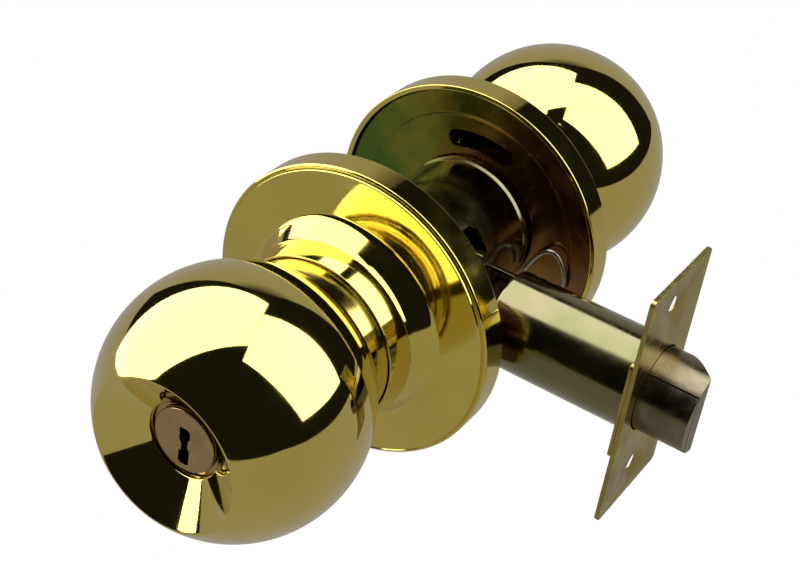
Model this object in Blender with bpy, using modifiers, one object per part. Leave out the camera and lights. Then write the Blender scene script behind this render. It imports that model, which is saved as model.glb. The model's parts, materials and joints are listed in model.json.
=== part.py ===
"""Keyed entry lockset with two ball knobs, a tubular spring latch and a pin tumbler cylinder.

Metres, +Z up. The knobs turn about the Y axis, the keyed knob towards -Y. The latch slides along
the X axis, and its bolt points to +X. The origin is where the two axes cross. A knob's own pieces
are turned in a local frame whose Z axis is the distance from the latch axis, out through the knob.
"""

import math

import bmesh
import bpy
from mathutils import Matrix, Vector

# Fits between neighbours
FIT = 0.0003
RUNNING_FIT = 0.0004
MERGE = 0.00001

# Door and latch setting
OUTSIDE_DOOR_FACE = 0.0162
INSIDE_DOOR_FACE = 0.0239
LATCH_REACH = 0.0613
RETRACTOR_TRAVEL = 0.0120
PLUNGER_TRAVEL = 0.0085

# Ball knobs
BALL_RADIUS = 0.0276
BALL_WALL = 0.0012
BALL_BACK_INSET = 0.0063
OUTSIDE_BALL_CENTRE = 0.0607
INSIDE_BALL_CENTRE = 0.0655
DISH_RIM_INSET = 0.0110
DISH_FLOOR_MARGIN = 0.0011
DISH_DEPTH = 0.0063
LIP_DEPTH = 0.0008
FLOOR_LIP_DEPTH = 0.0010

# Knob necks
NECK_STEP = 0.0027
NECK_WALL = 0.0012
NECK_TUCK = 0.0040
NECK_WEB = 0.0014
COLLAR_WALL = 0.0014
COLLAR_LAP = 0.00265

# Roses
ROSE_RADIUS = 0.0341
ROSE_BEAD_INSET = 0.0008
ROSE_BEAD_LEVEL = 0.0055
ROSE_BEAD_RISE = 0.0004
ROSE_BEAD_WIDTH = 0.0008
ROSE_HEIGHT = 0.0191
ROSE_WALL = 0.0012
ROSE_HUB_WALL = 0.0006
FLARE_HOLLOW_SHARE = 0.62
FLARE_SLOPE = math.radians(8.0)
FLARE_RIM_SLOPE = math.radians(18.0)

# Chassis drum, hubs and rose plates
DRUM_RADIUS = 0.0160
DRUM_WALL = 0.0012
DRUM_SETBACK = 0.0032
DRUM_PROUD = 0.0009
DRUM_BEAD = 0.0004
DRUM_BEAD_WIDTH = 0.0008
WINDOW_HALF_HEIGHT = 0.0108
HUB_RADIUS = 0.0155
HUB_SPIGOT = 0.0022
OUTSIDE_HUB_LENGTH = 0.0177
INSIDE_HUB_LENGTH = 0.0109
PLATE_WALL = 0.0012
PLATE_INSET = 0.0011
PLATE_DISH = 0.0009
PLATE_RIM_INSET = 0.0071
SCREW_CLEARANCE = 0.0050
SLOT_WIDTH = 0.0042
SLOT_SWEEP = math.radians(36.0)
BOSS_RADIUS = 0.0030
BOSS_HEADROOM = 0.0008
BOSS_BORE_RADIUS = 0.0016
NUT_WALL = 0.0013
NUT_HEIGHT = 0.0040
CLIP_WIRE_RADIUS = 0.0006
CLIP_RISE = 0.0030
CLIP_BENDS = (
    (0.0, -1.5),
    (0.12, -0.5),
    (0.30, 0.6),
    (0.52, 1.1),
    (0.72, 0.9),
    (0.88, 0.2),
    (1.0, -0.8),
    (0.97, -1.7),
)

# Spindles
SPINDLE_RADIUS = 0.0119
SPINDLE_WALL = 0.0017
SPINDLE_START = 0.0090
EAR_REACH = 0.0019
EAR_LEAD = 0.0046
EAR_WIDTH = 0.0043
SPINDLE_END_INSET = 0.0105
CATCH_LENGTH = 0.0120
CATCH_WIDTH = 0.0040
CATCH_WALL = 0.0008
CATCH_PEG_RADIUS = 0.0014
CATCH_PEG_INSET = 0.0142

# Retractor
CHEEK_WALL = 0.0020
CHEEK_BACK = 0.0060
CHEEK_HALF_HEIGHT = 0.0080
CROSSBAR_WALL = 0.0022
LUG_WIDTH = 0.0017
LUG_THICKNESS = 0.0016
LUG_FOOT = 0.0030
SEAT_PLACE = 0.0104
SEAT_WALL = 0.0012
SEAT_HALF_WIDTH = 0.0035
RETRACTOR_SPRING_RADIUS = 0.0024
RETRACTOR_WIRE_RADIUS = 0.0004
RETRACTOR_SPRING_TURNS = 5

# Latch
TUBE_RADIUS = 0.0106
TUBE_WALL = 0.0009
TUBE_START = 0.0258
BOLT_PROUD = 0.0114
BOLT_NOSE_WIDTH = 0.0078
BOLT_BEVEL_FOOT = 0.0007
TAIL_HALF_WIDTH = 0.0030
TAIL_WALL = 0.0012
TAIL_HEAD_WALL = 0.0011
TAIL_HEAD_HALF_HEIGHT = 0.0020
PLUNGER_DEPTH = 0.00315
FORK_WALL = 0.0012
PRONG_WALL = 0.0011
PRONG_HALF_HEIGHT = 0.0050
PRONG_LENGTH = 0.0130
BOLT_SPRING_RADIUS = 0.0050
BOLT_WIRE_RADIUS = 0.0004
BOLT_SPRING_TURNS = 5
BOLT_SPRING_SOLID = 0.0057
PLUNGER_SPRING_RADIUS = 0.0010
PLUNGER_WIRE_RADIUS = 0.00025
PLUNGER_SPRING_TURNS = 5
PLUNGER_SPRING_SOLID = 0.0023

# Latch plates
PLATE_HEIGHT = 0.05715
PLATE_WIDTH = 0.0268
PLATE_THICKNESS = 0.0010
PLATE_CORNER = 0.0012
BACKING_HEIGHT = 0.0240
BACKING_WIDTH = 0.0250
BACKING_THICKNESS = 0.0008
SCREW_SPACING = 0.0420
SCREW_HOLE_RADIUS = 0.0023
COUNTERSINK_RADIUS = 0.0042
COUNTERSINK_LAND = 0.0003

# Key cylinder
PLUG_RADIUS = 0.00635
PLUG_HEAD_RADIUS = 0.0071
PLUG_HEAD_HEIGHT = 0.0010
PLUG_END_HEIGHT = 0.0006
PLUG_GROOVE_DEPTH = 0.0010
BODY_WALL = 0.0026
BODY_SETBACK = 0.0013
BIBLE_TOP = 0.0150
BIBLE_HALF_WIDTH = 0.0034
KEYWAY_WIDTH = 0.0022
KEYWAY_TOP = 0.0028
KEYWAY_BOTTOM = 0.0057
CHAMBER_COUNT = 5
CHAMBER_PITCH = 0.0039
CHAMBER_INSET = 0.0045
CHAMBER_FLOOR = 0.0010
PIN_RADIUS = 0.0013
PIN_TIP = 0.0007
KEY_PIN_SHORTEST = 0.0050
KEY_PIN_STEP = 0.0004
DRIVER_LENGTH = 0.0034
SHEAR_GAP = 0.0006
PIN_WIRE_RADIUS = 0.0002
PIN_SPRING_TURNS = 2
COVER_WALL = 0.0009
CLIP_WALL = 0.0006
CLIP_OVERLAP = 0.0012
TAILPIECE_END = 0.0170
TAILPIECE_WIDTH = 0.0050
TAILPIECE_WALL = 0.0012
TAILPIECE_DISC_RADIUS = 0.0052
TAILPIECE_DISC_WALL = 0.0014

# Turn button and locking bar
BUTTON_RADIUS = 0.0070
BUTTON_WALL = 0.0014
BUTTON_PROUD = 0.0004
THUMB_HEIGHT = 0.0065
THUMB_WALL = 0.0034
THUMB_WIDTH = 0.0124
THUMB_EDGE = 0.00085
STEM_RADIUS = 0.0030
GUIDE_WALL = 0.0017
GUIDE_FLANGE = 0.0017
BAR_WIDTH = 0.0024
BAR_WALL = 0.0012
BAR_END = 0.0142
DOG_PLACE = 0.0120
DOG_WALL = 0.0016
DOG_HALF_HEIGHT = 0.0020

# Finishes: colour, roughness and metallic value
BRASS = "polished_brass"
ZINC = "zinc_yellow_steel"
DARK_ZINC = "dark_zinc_steel"
STEEL = "plain_steel"
NICKEL = "nickel_brass"
SPRING = "spring_steel"
FINISHES = {
    BRASS: ((0.87, 0.66, 0.22), 0.12, 1.0),
    ZINC: ((0.62, 0.56, 0.32), 0.28, 1.0),
    DARK_ZINC: ((0.30, 0.24, 0.16), 0.35, 1.0),
    STEEL: ((0.60, 0.57, 0.54), 0.30, 1.0),
    NICKEL: ((0.72, 0.60, 0.52), 0.25, 1.0),
    SPRING: ((0.45, 0.44, 0.42), 0.35, 1.0),
}

OUTSIDE = (math.pi / 2.0, 0.0, 0.0)
INSIDE = (-math.pi / 2.0, 0.0, 0.0)
ALONG_LATCH = (0.0, math.pi / 2.0, 0.0)
UPRIGHT = (0.0, 0.0, 0.0)

# Facets of round pieces
BALL_STEPS = 36
BALL_OUTER_ARCS = 12
BALL_INNER_ARCS = 6
ROSE_STEPS = 36
FLARE_ARCS = 7
ROLL_ARCS = 2
ROUND_STEPS = 32
SMALL_STEPS = 24
PIN_STEPS = 10
COIL_STEPS = 6

# Radii that follow from the sizes above
BALL_BACK_RADIUS = BALL_RADIUS - BALL_BACK_INSET
BALL_BACK_DEPTH = math.sqrt(BALL_RADIUS**2 - BALL_BACK_RADIUS**2)
DISH_RIM_RADIUS = BALL_RADIUS - DISH_RIM_INSET
DISH_RIM_RISE = math.sqrt(BALL_RADIUS**2 - DISH_RIM_RADIUS**2)
NECK_RADIUS = BALL_BACK_RADIUS - NECK_STEP
DISH_FLOOR_RADIUS = PLUG_HEAD_RADIUS + DISH_FLOOR_MARGIN
ROSE_BEAD_RADIUS = ROSE_RADIUS - ROSE_BEAD_INSET
ROSE_FLARE_RADIUS = ROSE_BEAD_RADIUS - ROSE_BEAD_WIDTH
ROSE_HUB_BORE = NECK_RADIUS + RUNNING_FIT
ROSE_HUB_EDGE = ROSE_HUB_BORE + ROSE_HUB_WALL
PLATE_RIM_RADIUS = ROSE_RADIUS - PLATE_RIM_INSET
SLOT_CIRCLE_RADIUS = HUB_RADIUS + SCREW_CLEARANCE

# Levels and bores that several pieces share
SPINDLE_BORE = SPINDLE_RADIUS - SPINDLE_WALL
HUB_BORE = SPINDLE_RADIUS + FIT
DRUM_BORE = DRUM_RADIUS - DRUM_WALL
DRUM_OUTSIDE_END = OUTSIDE_DOOR_FACE - DRUM_SETBACK
DRUM_INSIDE_END = INSIDE_DOOR_FACE + DRUM_PROUD
EAR_TIP = SPINDLE_START - EAR_REACH
RETRACTOR_HALF_WIDTH = EAR_TIP - FIT
LUG_FACE = EAR_LEAD - FIT
WINDOW_HALF_WIDTH = RETRACTOR_HALF_WIDTH + PRONG_WALL + 2.0 * FIT
TUBE_BORE = TUBE_RADIUS - TUBE_WALL
BOLT_RADIUS = TUBE_BORE - FIT
BOLT_TIP = LATCH_REACH + BOLT_PROUD
FORK_BACK = TUBE_START + FIT
FORK_FACE = FORK_BACK + FORK_WALL
BOLT_BACK = FORK_FACE + BOLT_SPRING_SOLID + RETRACTOR_TRAVEL
PLUNGER_BACK = FORK_FACE + PLUNGER_SPRING_SOLID + RETRACTOR_TRAVEL + PLUNGER_TRAVEL
BAR_SWEEP = math.hypot(BAR_WIDTH, BAR_WALL) / 2.0
CROSSBAR_FACE = BAR_SWEEP + RUNNING_FIT + TAIL_HEAD_WALL + FIT + RETRACTOR_TRAVEL
LUG_BACK_STOP = RETRACTOR_TRAVEL + LUG_WIDTH - LUG_FACE
LUG_TOP = math.sqrt(DRUM_BORE**2 - LUG_BACK_STOP**2) - FIT
TAIL_SLOT = TAIL_WALL / 2.0 + FIT
CYLINDER_FACE = OUTSIDE_BALL_CENTRE + DISH_RIM_RISE - DISH_DEPTH
BODY_FACE = CYLINDER_FACE - BODY_SETBACK
BODY_BACK = OUTSIDE_BALL_CENTRE - SPINDLE_END_INSET + FIT
BODY_BORE = PLUG_RADIUS + FIT
CHAMBER_RADIUS = PIN_RADIUS + FIT / 2.0


def clear_scene():
    """Removes every object that the open file holds."""
    for old in list(bpy.data.objects):
        bpy.data.objects.remove(old, do_unlink=True)


def make_collection(name):
    """Adds a collection to the scene."""
    collection = bpy.data.collections.new(name)
    bpy.context.scene.collection.children.link(collection)
    return collection


def make_finish(name):
    """Makes one material from its colour, roughness and metallic value."""
    colour, roughness, metallic = FINISHES[name]
    finish = bpy.data.materials.new(name)
    finish.use_nodes = True
    shader = finish.node_tree.nodes["Principled BSDF"]
    shader.inputs["Base Color"].default_value = (*colour, 1.0)
    shader.inputs["Roughness"].default_value = roughness
    shader.inputs["Metallic"].default_value = metallic
    return finish


clear_scene()
LOCKSET = make_collection("keyed_entry_lockset")
CUTTERS = make_collection("keyed_entry_lockset_cutters")


def axis_empty(name, parent=None):
    """Makes the empty that a moving group turns about or slides with."""
    empty = bpy.data.objects.new(name, None)
    empty.empty_display_size = 0.02
    empty.parent = parent
    LOCKSET.objects.link(empty)
    return empty


def add_piece(name, data, finish, parent, turn=UPRIGHT):
    """Links one named piece with its own copy of a finish."""
    piece = bpy.data.objects.new(name, data)
    piece.rotation_euler = turn
    piece.parent = parent
    own = make_finish(finish)
    own.name = f"{name}_{finish}"
    data.materials.append(own)
    LOCKSET.objects.link(piece)
    return piece


def make_tool(piece):
    """Turns a piece into a cutter or a guide, which is not part of the object."""
    LOCKSET.objects.unlink(piece)
    CUTTERS.objects.link(piece)
    piece.hide_render = True
    piece.display_type = "WIRE"
    return piece


def combine(piece, tools, operation):
    """Cuts the tools from a piece, or joins them to it."""
    for tool in tools:
        step = piece.modifiers.new(tool.name, "BOOLEAN")
        step.operation = operation
        step.object = make_tool(tool)
    return piece


def cut(piece, *tools):
    """Cuts each tool's shape from the piece."""
    return combine(piece, tools, "DIFFERENCE")


def join(piece, *tools):
    """Joins each tool's shape to the piece."""
    return combine(piece, tools, "UNION")


def turned(name, profile, steps, finish, parent, turn, closed=True):
    """Turns a profile of (radius, level) points, given clockwise, about the local Z axis."""
    mesh = bpy.data.meshes.new(name)
    last = len(profile) - 1
    edges = [(index, index + 1) for index in range(last)]
    if closed:
        edges.append((last, 0))
    mesh.from_pydata([(radius, 0.0, level) for radius, level in profile], edges, [])
    piece = add_piece(name, mesh, finish, parent, turn)
    screw = piece.modifiers.new("Turn", "SCREW")
    screw.steps = steps
    screw.render_steps = steps
    screw.use_merge_vertices = True
    screw.merge_threshold = MERGE
    screw.use_smooth_shade = True
    return piece


def tube(name, radius, bore, low, high, steps, finish, parent, turn):
    """Turns a plain tube between two levels."""
    profile = [(radius, high), (radius, low), (bore, low), (bore, high)]
    return turned(name, profile, steps, finish, parent, turn)


def mesh_piece(name, build, finish, parent, turn=UPRIGHT):
    """Makes a piece from a bmesh that the build function fills."""
    mesh = bpy.data.meshes.new(name)
    work = bmesh.new()
    build(work)
    work.to_mesh(mesh)
    work.free()
    return add_piece(name, mesh, finish, parent, turn)


def box(name, low, high, finish, parent, edge=0.0):
    """Makes a box between two corners, with its edges rounded where asked."""
    low = Vector(low)
    high = Vector(high)
    place = Matrix.LocRotScale((low + high) / 2.0, None, high - low)

    def build(work):
        bmesh.ops.create_cube(work, size=1.0, matrix=place)

    piece = mesh_piece(name, build, finish, parent)
    if edge:
        bevel = piece.modifiers.new("Edges", "BEVEL")
        bevel.width = edge
        bevel.segments = 2
    return piece


def rod(name, start, end, radius, steps, finish, parent, end_radius=None):
    """Makes a round rod, or a cone, between two points."""
    start = Vector(start)
    end = Vector(end)
    span = end - start
    place = Matrix.Translation((start + end) / 2.0) @ span.to_track_quat("Z", "Y").to_matrix().to_4x4()
    far = radius if end_radius is None else end_radius

    def build(work):
        bmesh.ops.create_cone(
            work, cap_ends=True, segments=steps, radius1=radius, radius2=far, depth=span.length, matrix=place
        )

    piece = mesh_piece(name, build, finish, parent)
    piece.data.shade_smooth()
    piece.data.set_sharp_from_angle(angle=math.radians(40.0))
    return piece


def wire(name, points, radius, finish, parent, turn=UPRIGHT):
    """Makes a round wire along a list of points."""
    curve = bpy.data.curves.new(name, "CURVE")
    curve.dimensions = "3D"
    curve.bevel_depth = radius
    curve.bevel_resolution = 2
    curve.use_fill_caps = True
    spline = curve.splines.new("POLY")
    spline.points.add(len(points) - 1)
    for point, place in zip(spline.points, points):
        point.co = (*place, 1.0)
    return add_piece(name, curve, finish, parent, turn)


def coil(name, centre, low, high, radius, wire_radius, turns, finish, parent, turn):
    """Winds a compression spring between two levels, clear of what it pushes on."""
    bottom = low + wire_radius + FIT
    rise = high - wire_radius - FIT - bottom
    count = turns * COIL_STEPS
    points = []
    for index in range(count + 1):
        angle = 2.0 * math.pi * index / COIL_STEPS
        across = centre[0] + radius * math.cos(angle)
        along = centre[1] + radius * math.sin(angle)
        points.append((across, along, bottom + rise * index / count))
    return wire(name, points, wire_radius, finish, parent, turn)


def flat_piece(name, outlines, thickness, finish, parent, turn=UPRIGHT, level=0.0):
    """Makes a flat piece from closed outlines, the first one outside and the others holes."""
    curve = bpy.data.curves.new(name, "CURVE")
    curve.dimensions = "2D"
    curve.fill_mode = "BOTH"
    curve.extrude = thickness / 2.0
    for outline in outlines:
        spline = curve.splines.new("POLY")
        spline.points.add(len(outline) - 1)
        for point, place in zip(spline.points, outline):
            point.co = (place[0], place[1], 0.0, 1.0)
        spline.use_cyclic_u = True
    drawn = add_piece(name + "_outline", curve, finish, parent, turn)
    bpy.context.view_layer.update()
    seen = drawn.evaluated_get(bpy.context.evaluated_depsgraph_get())
    mesh = bpy.data.meshes.new_from_object(seen)
    work = bmesh.new()
    work.from_mesh(mesh)
    bmesh.ops.remove_doubles(work, verts=work.verts, dist=MERGE)
    bmesh.ops.translate(work, verts=work.verts, vec=(0.0, 0.0, level + thickness / 2.0))
    bmesh.ops.recalc_face_normals(work, faces=work.faces)
    work.to_mesh(mesh)
    work.free()
    piece = bpy.data.objects.new(name, mesh)
    piece.parent = parent
    piece.matrix_world = drawn.matrix_world
    mesh.name = name
    LOCKSET.objects.link(piece)
    bpy.data.objects.remove(drawn, do_unlink=True)
    return piece


def circle_points(radius, steps, centre=(0.0, 0.0)):
    """Gives the points of a circle."""
    angles = [2.0 * math.pi * index / steps for index in range(steps)]
    return [(centre[0] + radius * math.cos(a), centre[1] + radius * math.sin(a)) for a in angles]


def rounded_rectangle(half_width, half_height, corner, corner_steps=4):
    """Gives the outline of a rectangle with round corners."""
    points = []
    for quarter, (side_x, side_y) in enumerate(((1, 1), (-1, 1), (-1, -1), (1, -1))):
        centre = (side_x * (half_width - corner), side_y * (half_height - corner))
        for index in range(corner_steps + 1):
            angle = math.pi / 2.0 * (quarter + index / corner_steps)
            points.append((centre[0] + corner * math.cos(angle), centre[1] + corner * math.sin(angle)))
    return points


def arc_points(radius, level, first, last, steps):
    """Gives (radius, level) points on a ball, by polar angle from the local Z axis."""
    points = []
    for index in range(steps + 1):
        angle = first + (last - first) * index / steps
        points.append((radius * math.sin(angle), level + radius * math.cos(angle)))
    return points


def slot_outline(radius, width, sweep, middle, steps=8):
    """Gives the outline of a curved slot round the origin."""
    angles = [middle - sweep / 2.0 + sweep * index / steps for index in range(steps + 1)]
    outer = radius + width / 2.0
    inner = radius - width / 2.0
    far = [(outer * math.cos(a), outer * math.sin(a)) for a in angles]
    near = [(inner * math.cos(a), inner * math.sin(a)) for a in reversed(angles)]
    return far + near


def knob_shell(name, centre, parent, turn):
    """Presses the ball: a thin shell with a dished face and a back edge rolled over the neck."""
    inner_radius = BALL_RADIUS - BALL_WALL
    rim_level = centre + DISH_RIM_RISE
    floor_level = rim_level - DISH_DEPTH
    back_level = centre - BALL_BACK_DEPTH
    slope = DISH_DEPTH / (DISH_RIM_RADIUS - DISH_FLOOR_RADIUS)
    drop = BALL_WALL * math.hypot(1.0, slope)
    lip_bore = BALL_BACK_RADIUS - BALL_WALL
    rim_angle = math.asin(DISH_RIM_RADIUS / BALL_RADIUS)
    back_angle = math.pi - math.asin(BALL_BACK_RADIUS / BALL_RADIUS)
    inner_back = math.pi - math.asin((lip_bore + BALL_WALL / 2.0) / inner_radius)
    inner_front = math.asin((DISH_RIM_RADIUS + BALL_WALL / 2.0) / inner_radius)
    profile = arc_points(BALL_RADIUS, centre, rim_angle, back_angle, BALL_OUTER_ARCS)
    profile.append((BALL_BACK_RADIUS - BALL_WALL / 3.0, back_level - LIP_DEPTH))
    profile.append((lip_bore, back_level - LIP_DEPTH))
    profile += arc_points(inner_radius, centre, inner_back, inner_front, BALL_INNER_ARCS)
    under_rim = DISH_RIM_RADIUS - BALL_WALL
    profile.append((under_rim, floor_level + slope * (under_rim - DISH_FLOOR_RADIUS) - drop))
    floor_foot = floor_level - FLOOR_LIP_DEPTH
    under_floor = DISH_FLOOR_RADIUS + max(BALL_WALL, (drop - FLOOR_LIP_DEPTH) / slope + BALL_WALL / 2.0)
    profile.append((under_floor, floor_foot))
    profile.append((DISH_FLOOR_RADIUS, floor_foot))
    profile.append((DISH_FLOOR_RADIUS, floor_level))
    return turned(name, profile, BALL_STEPS, BRASS, parent, turn)


def knob_neck(name, centre, rose_top, parent, turn):
    """Makes the neck that carries the ball, with the collar that slides over the spindle."""
    back_level = centre - BALL_BACK_DEPTH
    lip_bore = BALL_BACK_RADIUS - BALL_WALL
    seat_radius = lip_bore - FIT
    start = rose_top - NECK_TUCK
    bore = NECK_RADIUS - NECK_WALL
    collar_bore = SPINDLE_RADIUS + FIT
    collar_radius = collar_bore + COLLAR_WALL
    web_low = back_level
    web_high = web_low + NECK_WEB
    collar_top = centre - CATCH_PEG_INSET + COLLAR_LAP
    lip_foot = back_level - LIP_DEPTH
    flare_foot = lip_foot - (seat_radius - NECK_RADIUS) / 2.0
    profile = [
        (seat_radius, web_high + NECK_WEB),
        (seat_radius, lip_foot),
        (NECK_RADIUS, flare_foot),
        (NECK_RADIUS, start),
        (bore, start),
        (bore, web_low),
        (collar_bore, web_low),
        (collar_bore, collar_top),
        (collar_radius, collar_top),
        (collar_radius, web_high),
        (seat_radius - NECK_WEB, web_high),
        (seat_radius - NECK_WEB, web_high + NECK_WEB),
    ]
    return turned(name, profile, ROUND_STEPS, BRASS, parent, turn)


def flare_line(inset, start):
    """Gives the rose's flare, by radius and height over the door, from a starting radius to the bead.

    A hollow arc grows from the hub's edge, and a full one rolls over towards the bead. The line can lie
    inside the outer face by an inset.
    """
    hollow = FLARE_HOLLOW_SHARE * (ROSE_FLARE_RADIUS - ROSE_HUB_EDGE)
    middle = ROSE_HUB_EDGE + hollow
    turn = middle - hollow * math.sin(FLARE_SLOPE)
    full = (ROSE_FLARE_RADIUS - turn) / (math.sin(FLARE_RIM_SLOPE) - math.sin(FLARE_SLOPE))
    shoulder = ROSE_BEAD_LEVEL + ROSE_BEAD_WIDTH
    full_height = shoulder - full * math.cos(FLARE_RIM_SLOPE)
    hollow_height = full_height + (full + hollow) * math.cos(FLARE_SLOPE)
    reach = hollow + inset
    drop = math.sqrt(max(reach**2 - (middle - start) ** 2, 0.0))
    first = math.atan2(middle - start, drop)
    line = []
    for index in range(FLARE_ARCS + 1):
        angle = first + (FLARE_SLOPE - first) * index / FLARE_ARCS
        line.append((middle - reach * math.sin(angle), hollow_height - reach * math.cos(angle)))
    for index in range(1, ROLL_ARCS + 1):
        angle = FLARE_SLOPE + (FLARE_RIM_SLOPE - FLARE_SLOPE) * index / ROLL_ARCS
        across = turn - full * math.sin(FLARE_SLOPE) + (full - inset) * math.sin(angle)
        line.append((across, full_height + (full - inset) * math.cos(angle)))
    return line


def rose(name, door_face, turn):
    """Spins a rose: a flared cover with a fine bead, open towards the door."""
    top = door_face + ROSE_HEIGHT
    bead_level = door_face + ROSE_BEAD_LEVEL
    half_bead = ROSE_BEAD_WIDTH / 2.0
    profile = [(ROSE_HUB_EDGE, top)]
    profile += [(radius, door_face + height) for radius, height in flare_line(0.0, ROSE_HUB_EDGE)]
    profile.append((ROSE_BEAD_RADIUS - half_bead, bead_level + half_bead + ROSE_BEAD_RISE))
    profile.append((ROSE_BEAD_RADIUS, bead_level + ROSE_BEAD_RISE))
    profile.append((ROSE_BEAD_RADIUS, bead_level))
    profile.append((ROSE_RADIUS, door_face))
    profile.append((ROSE_RADIUS - ROSE_WALL, door_face))
    profile.append((ROSE_BEAD_RADIUS - ROSE_WALL, bead_level - ROSE_WALL / 2.0))
    inside = flare_line(ROSE_WALL, ROSE_HUB_BORE)
    profile += [(radius, door_face + height) for radius, height in reversed(inside)]
    profile.append((ROSE_HUB_BORE, top))
    return turned(name, profile, ROSE_STEPS, BRASS, None, turn)


def rose_headroom(radius):
    """Gives the height inside a rose at one radius, from the door's face to the rose's wall."""
    line = flare_line(ROSE_WALL, ROSE_HUB_BORE)
    for near, far in zip(line, line[1:]):
        if near[0] <= radius <= far[0]:
            share = (radius - near[0]) / (far[0] - near[0])
            return near[1] + (far[1] - near[1]) * share
    return line[-1][1]


def rose_plate(name, door_face, turn):
    """Presses the plate inside a rose, with a curved slot above and below for the through screws."""
    rim_level = door_face + PLATE_INSET
    web_level = rim_level + PLATE_DISH
    radius = (ROSE_RADIUS + ROSE_BEAD_RADIUS) / 2.0 - ROSE_WALL - FIT
    bore = HUB_RADIUS + FIT
    profile = [
        (radius, rim_level + PLATE_WALL),
        (radius, rim_level),
        (PLATE_RIM_RADIUS, rim_level),
        (PLATE_RIM_RADIUS - PLATE_DISH, web_level),
        (bore, web_level),
        (bore, web_level + PLATE_WALL),
        (PLATE_RIM_RADIUS - PLATE_DISH, web_level + PLATE_WALL),
        (PLATE_RIM_RADIUS, rim_level + PLATE_WALL),
    ]
    return turned(name, profile, ROSE_STEPS, DARK_ZINC, None, turn)


def slotted_plate(name, door_face, turn):
    """Cuts the two screw slots in the inside rose plate."""
    plate = rose_plate(name, door_face, turn)
    for side in (1, -1):
        outline = slot_outline(SLOT_CIRCLE_RADIUS, SLOT_WIDTH, SLOT_SWEEP, side * math.pi / 2.0)
        tool = flat_piece(
            f"{name}_slot_{side + 1}", [outline], 4.0 * PLATE_WALL, DARK_ZINC, None, turn, door_face
        )
        cut(plate, tool)
    return plate


def bossed_plate(name, door_face, turn):
    """Adds the two threaded bosses that take the through screws to the outside rose plate."""
    plate = rose_plate(name, door_face, turn)
    web = door_face + PLATE_INSET + PLATE_DISH
    for side in (1, -1):
        height = side * SLOT_CIRCLE_RADIUS
        root = web + PLATE_WALL / 2.0
        tip = door_face + rose_headroom(SLOT_CIRCLE_RADIUS + BOSS_RADIUS) - BOSS_HEADROOM
        steps = PIN_STEPS + 4
        boss = rod(f"{name}_boss_{side + 1}", (0, -root, height), (0, -tip, height), BOSS_RADIUS, steps,
                   DARK_ZINC, None)
        bore = rod(f"{name}_bore_{side + 1}", (0, -door_face, height), (0, -tip - FIT, height),
                   BOSS_BORE_RADIUS, steps, DARK_ZINC, None)
        join(plate, boss)
        cut(plate, bore)
    return plate


def chassis_drum():
    """Makes the drum that holds the retractor, with the windows that the latch and retractor pass."""
    profile = [
        (DRUM_RADIUS + DRUM_BEAD, DRUM_INSIDE_END),
        (DRUM_RADIUS + DRUM_BEAD, DRUM_INSIDE_END - DRUM_BEAD_WIDTH),
        (DRUM_RADIUS, DRUM_INSIDE_END - 2.0 * DRUM_BEAD_WIDTH),
        (DRUM_RADIUS, -DRUM_OUTSIDE_END),
        (DRUM_BORE, -DRUM_OUTSIDE_END),
        (DRUM_BORE, DRUM_INSIDE_END),
    ]
    drum = turned("chassis_drum", profile, ROUND_STEPS, ZINC, None, INSIDE)
    reach = 2.0 * DRUM_RADIUS
    window = box(
        "drum_windows",
        (-reach, -WINDOW_HALF_WIDTH, -WINDOW_HALF_HEIGHT),
        (reach, WINDOW_HALF_WIDTH, WINDOW_HALF_HEIGHT),
        ZINC,
        None,
    )
    return cut(drum, window)


def hub(name, drum_end, length, turn):
    """Turns the threaded hub that a spindle runs in, with the spigot that enters the drum."""
    spigot_radius = DRUM_BORE - FIT
    shoulder = drum_end + FIT
    profile = [
        (HUB_RADIUS, shoulder + length),
        (HUB_RADIUS, shoulder),
        (spigot_radius, shoulder),
        (spigot_radius, drum_end - HUB_SPIGOT),
        (HUB_BORE, drum_end - HUB_SPIGOT),
        (HUB_BORE, shoulder + length),
    ]
    return turned(name, profile, ROUND_STEPS, DARK_ZINC, None, turn)


def adjusting_nut():
    """Turns the ring nut that sets the outside plate for the door's thickness."""
    low = OUTSIDE_DOOR_FACE + PLATE_INSET + PLATE_DISH + PLATE_WALL + FIT
    bore = HUB_RADIUS + FIT
    return tube("adjusting_nut", bore + NUT_WALL, bore, low, low + NUT_HEIGHT, ROUND_STEPS,
                DARK_ZINC, None, OUTSIDE)


def rose_clip():
    """Bends the wire clip that holds the inside rose, lying on its plate beside the drum."""
    level = INSIDE_DOOR_FACE + PLATE_INSET - CLIP_WIRE_RADIUS - FIT
    near = DRUM_RADIUS + DRUM_BEAD + CLIP_WIRE_RADIUS + FIT
    rim = PLATE_RIM_RADIUS + CLIP_WIRE_RADIUS
    reach = rim - near
    points = [(near + reach * across, level, CLIP_RISE * up) for across, up in CLIP_BENDS]
    return wire("rose_clip", points, CLIP_WIRE_RADIUS, SPRING, None)


def spindle(name, centre, parent, side, turn):
    """Makes a knob's tube spindle, with the two ears that push the retractor back."""
    end = centre - SPINDLE_END_INSET
    piece = tube(name, SPINDLE_RADIUS, SPINDLE_BORE, EAR_TIP, end, SMALL_STEPS, DARK_ZINC, parent, turn)
    reach = 2.0 * SPINDLE_RADIUS
    near, far = sorted((side * (EAR_TIP - FIT), side * SPINDLE_START))
    ear_end = EAR_LEAD + EAR_WIDTH
    behind = box(f"{name}_relief_back", (-reach, near, -reach), (EAR_LEAD, far, reach), DARK_ZINC, parent)
    ahead = box(f"{name}_relief_front", (ear_end, near, -reach), (reach, far, reach), DARK_ZINC, parent)
    level = side * (centre - CATCH_PEG_INSET)
    peg_hole = rod(f"{name}_peg_hole", (0, level, 0), (0, level, -reach), CATCH_PEG_RADIUS + FIT, PIN_STEPS,
                   DARK_ZINC, parent)
    return cut(piece, behind, ahead, peg_hole)


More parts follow.
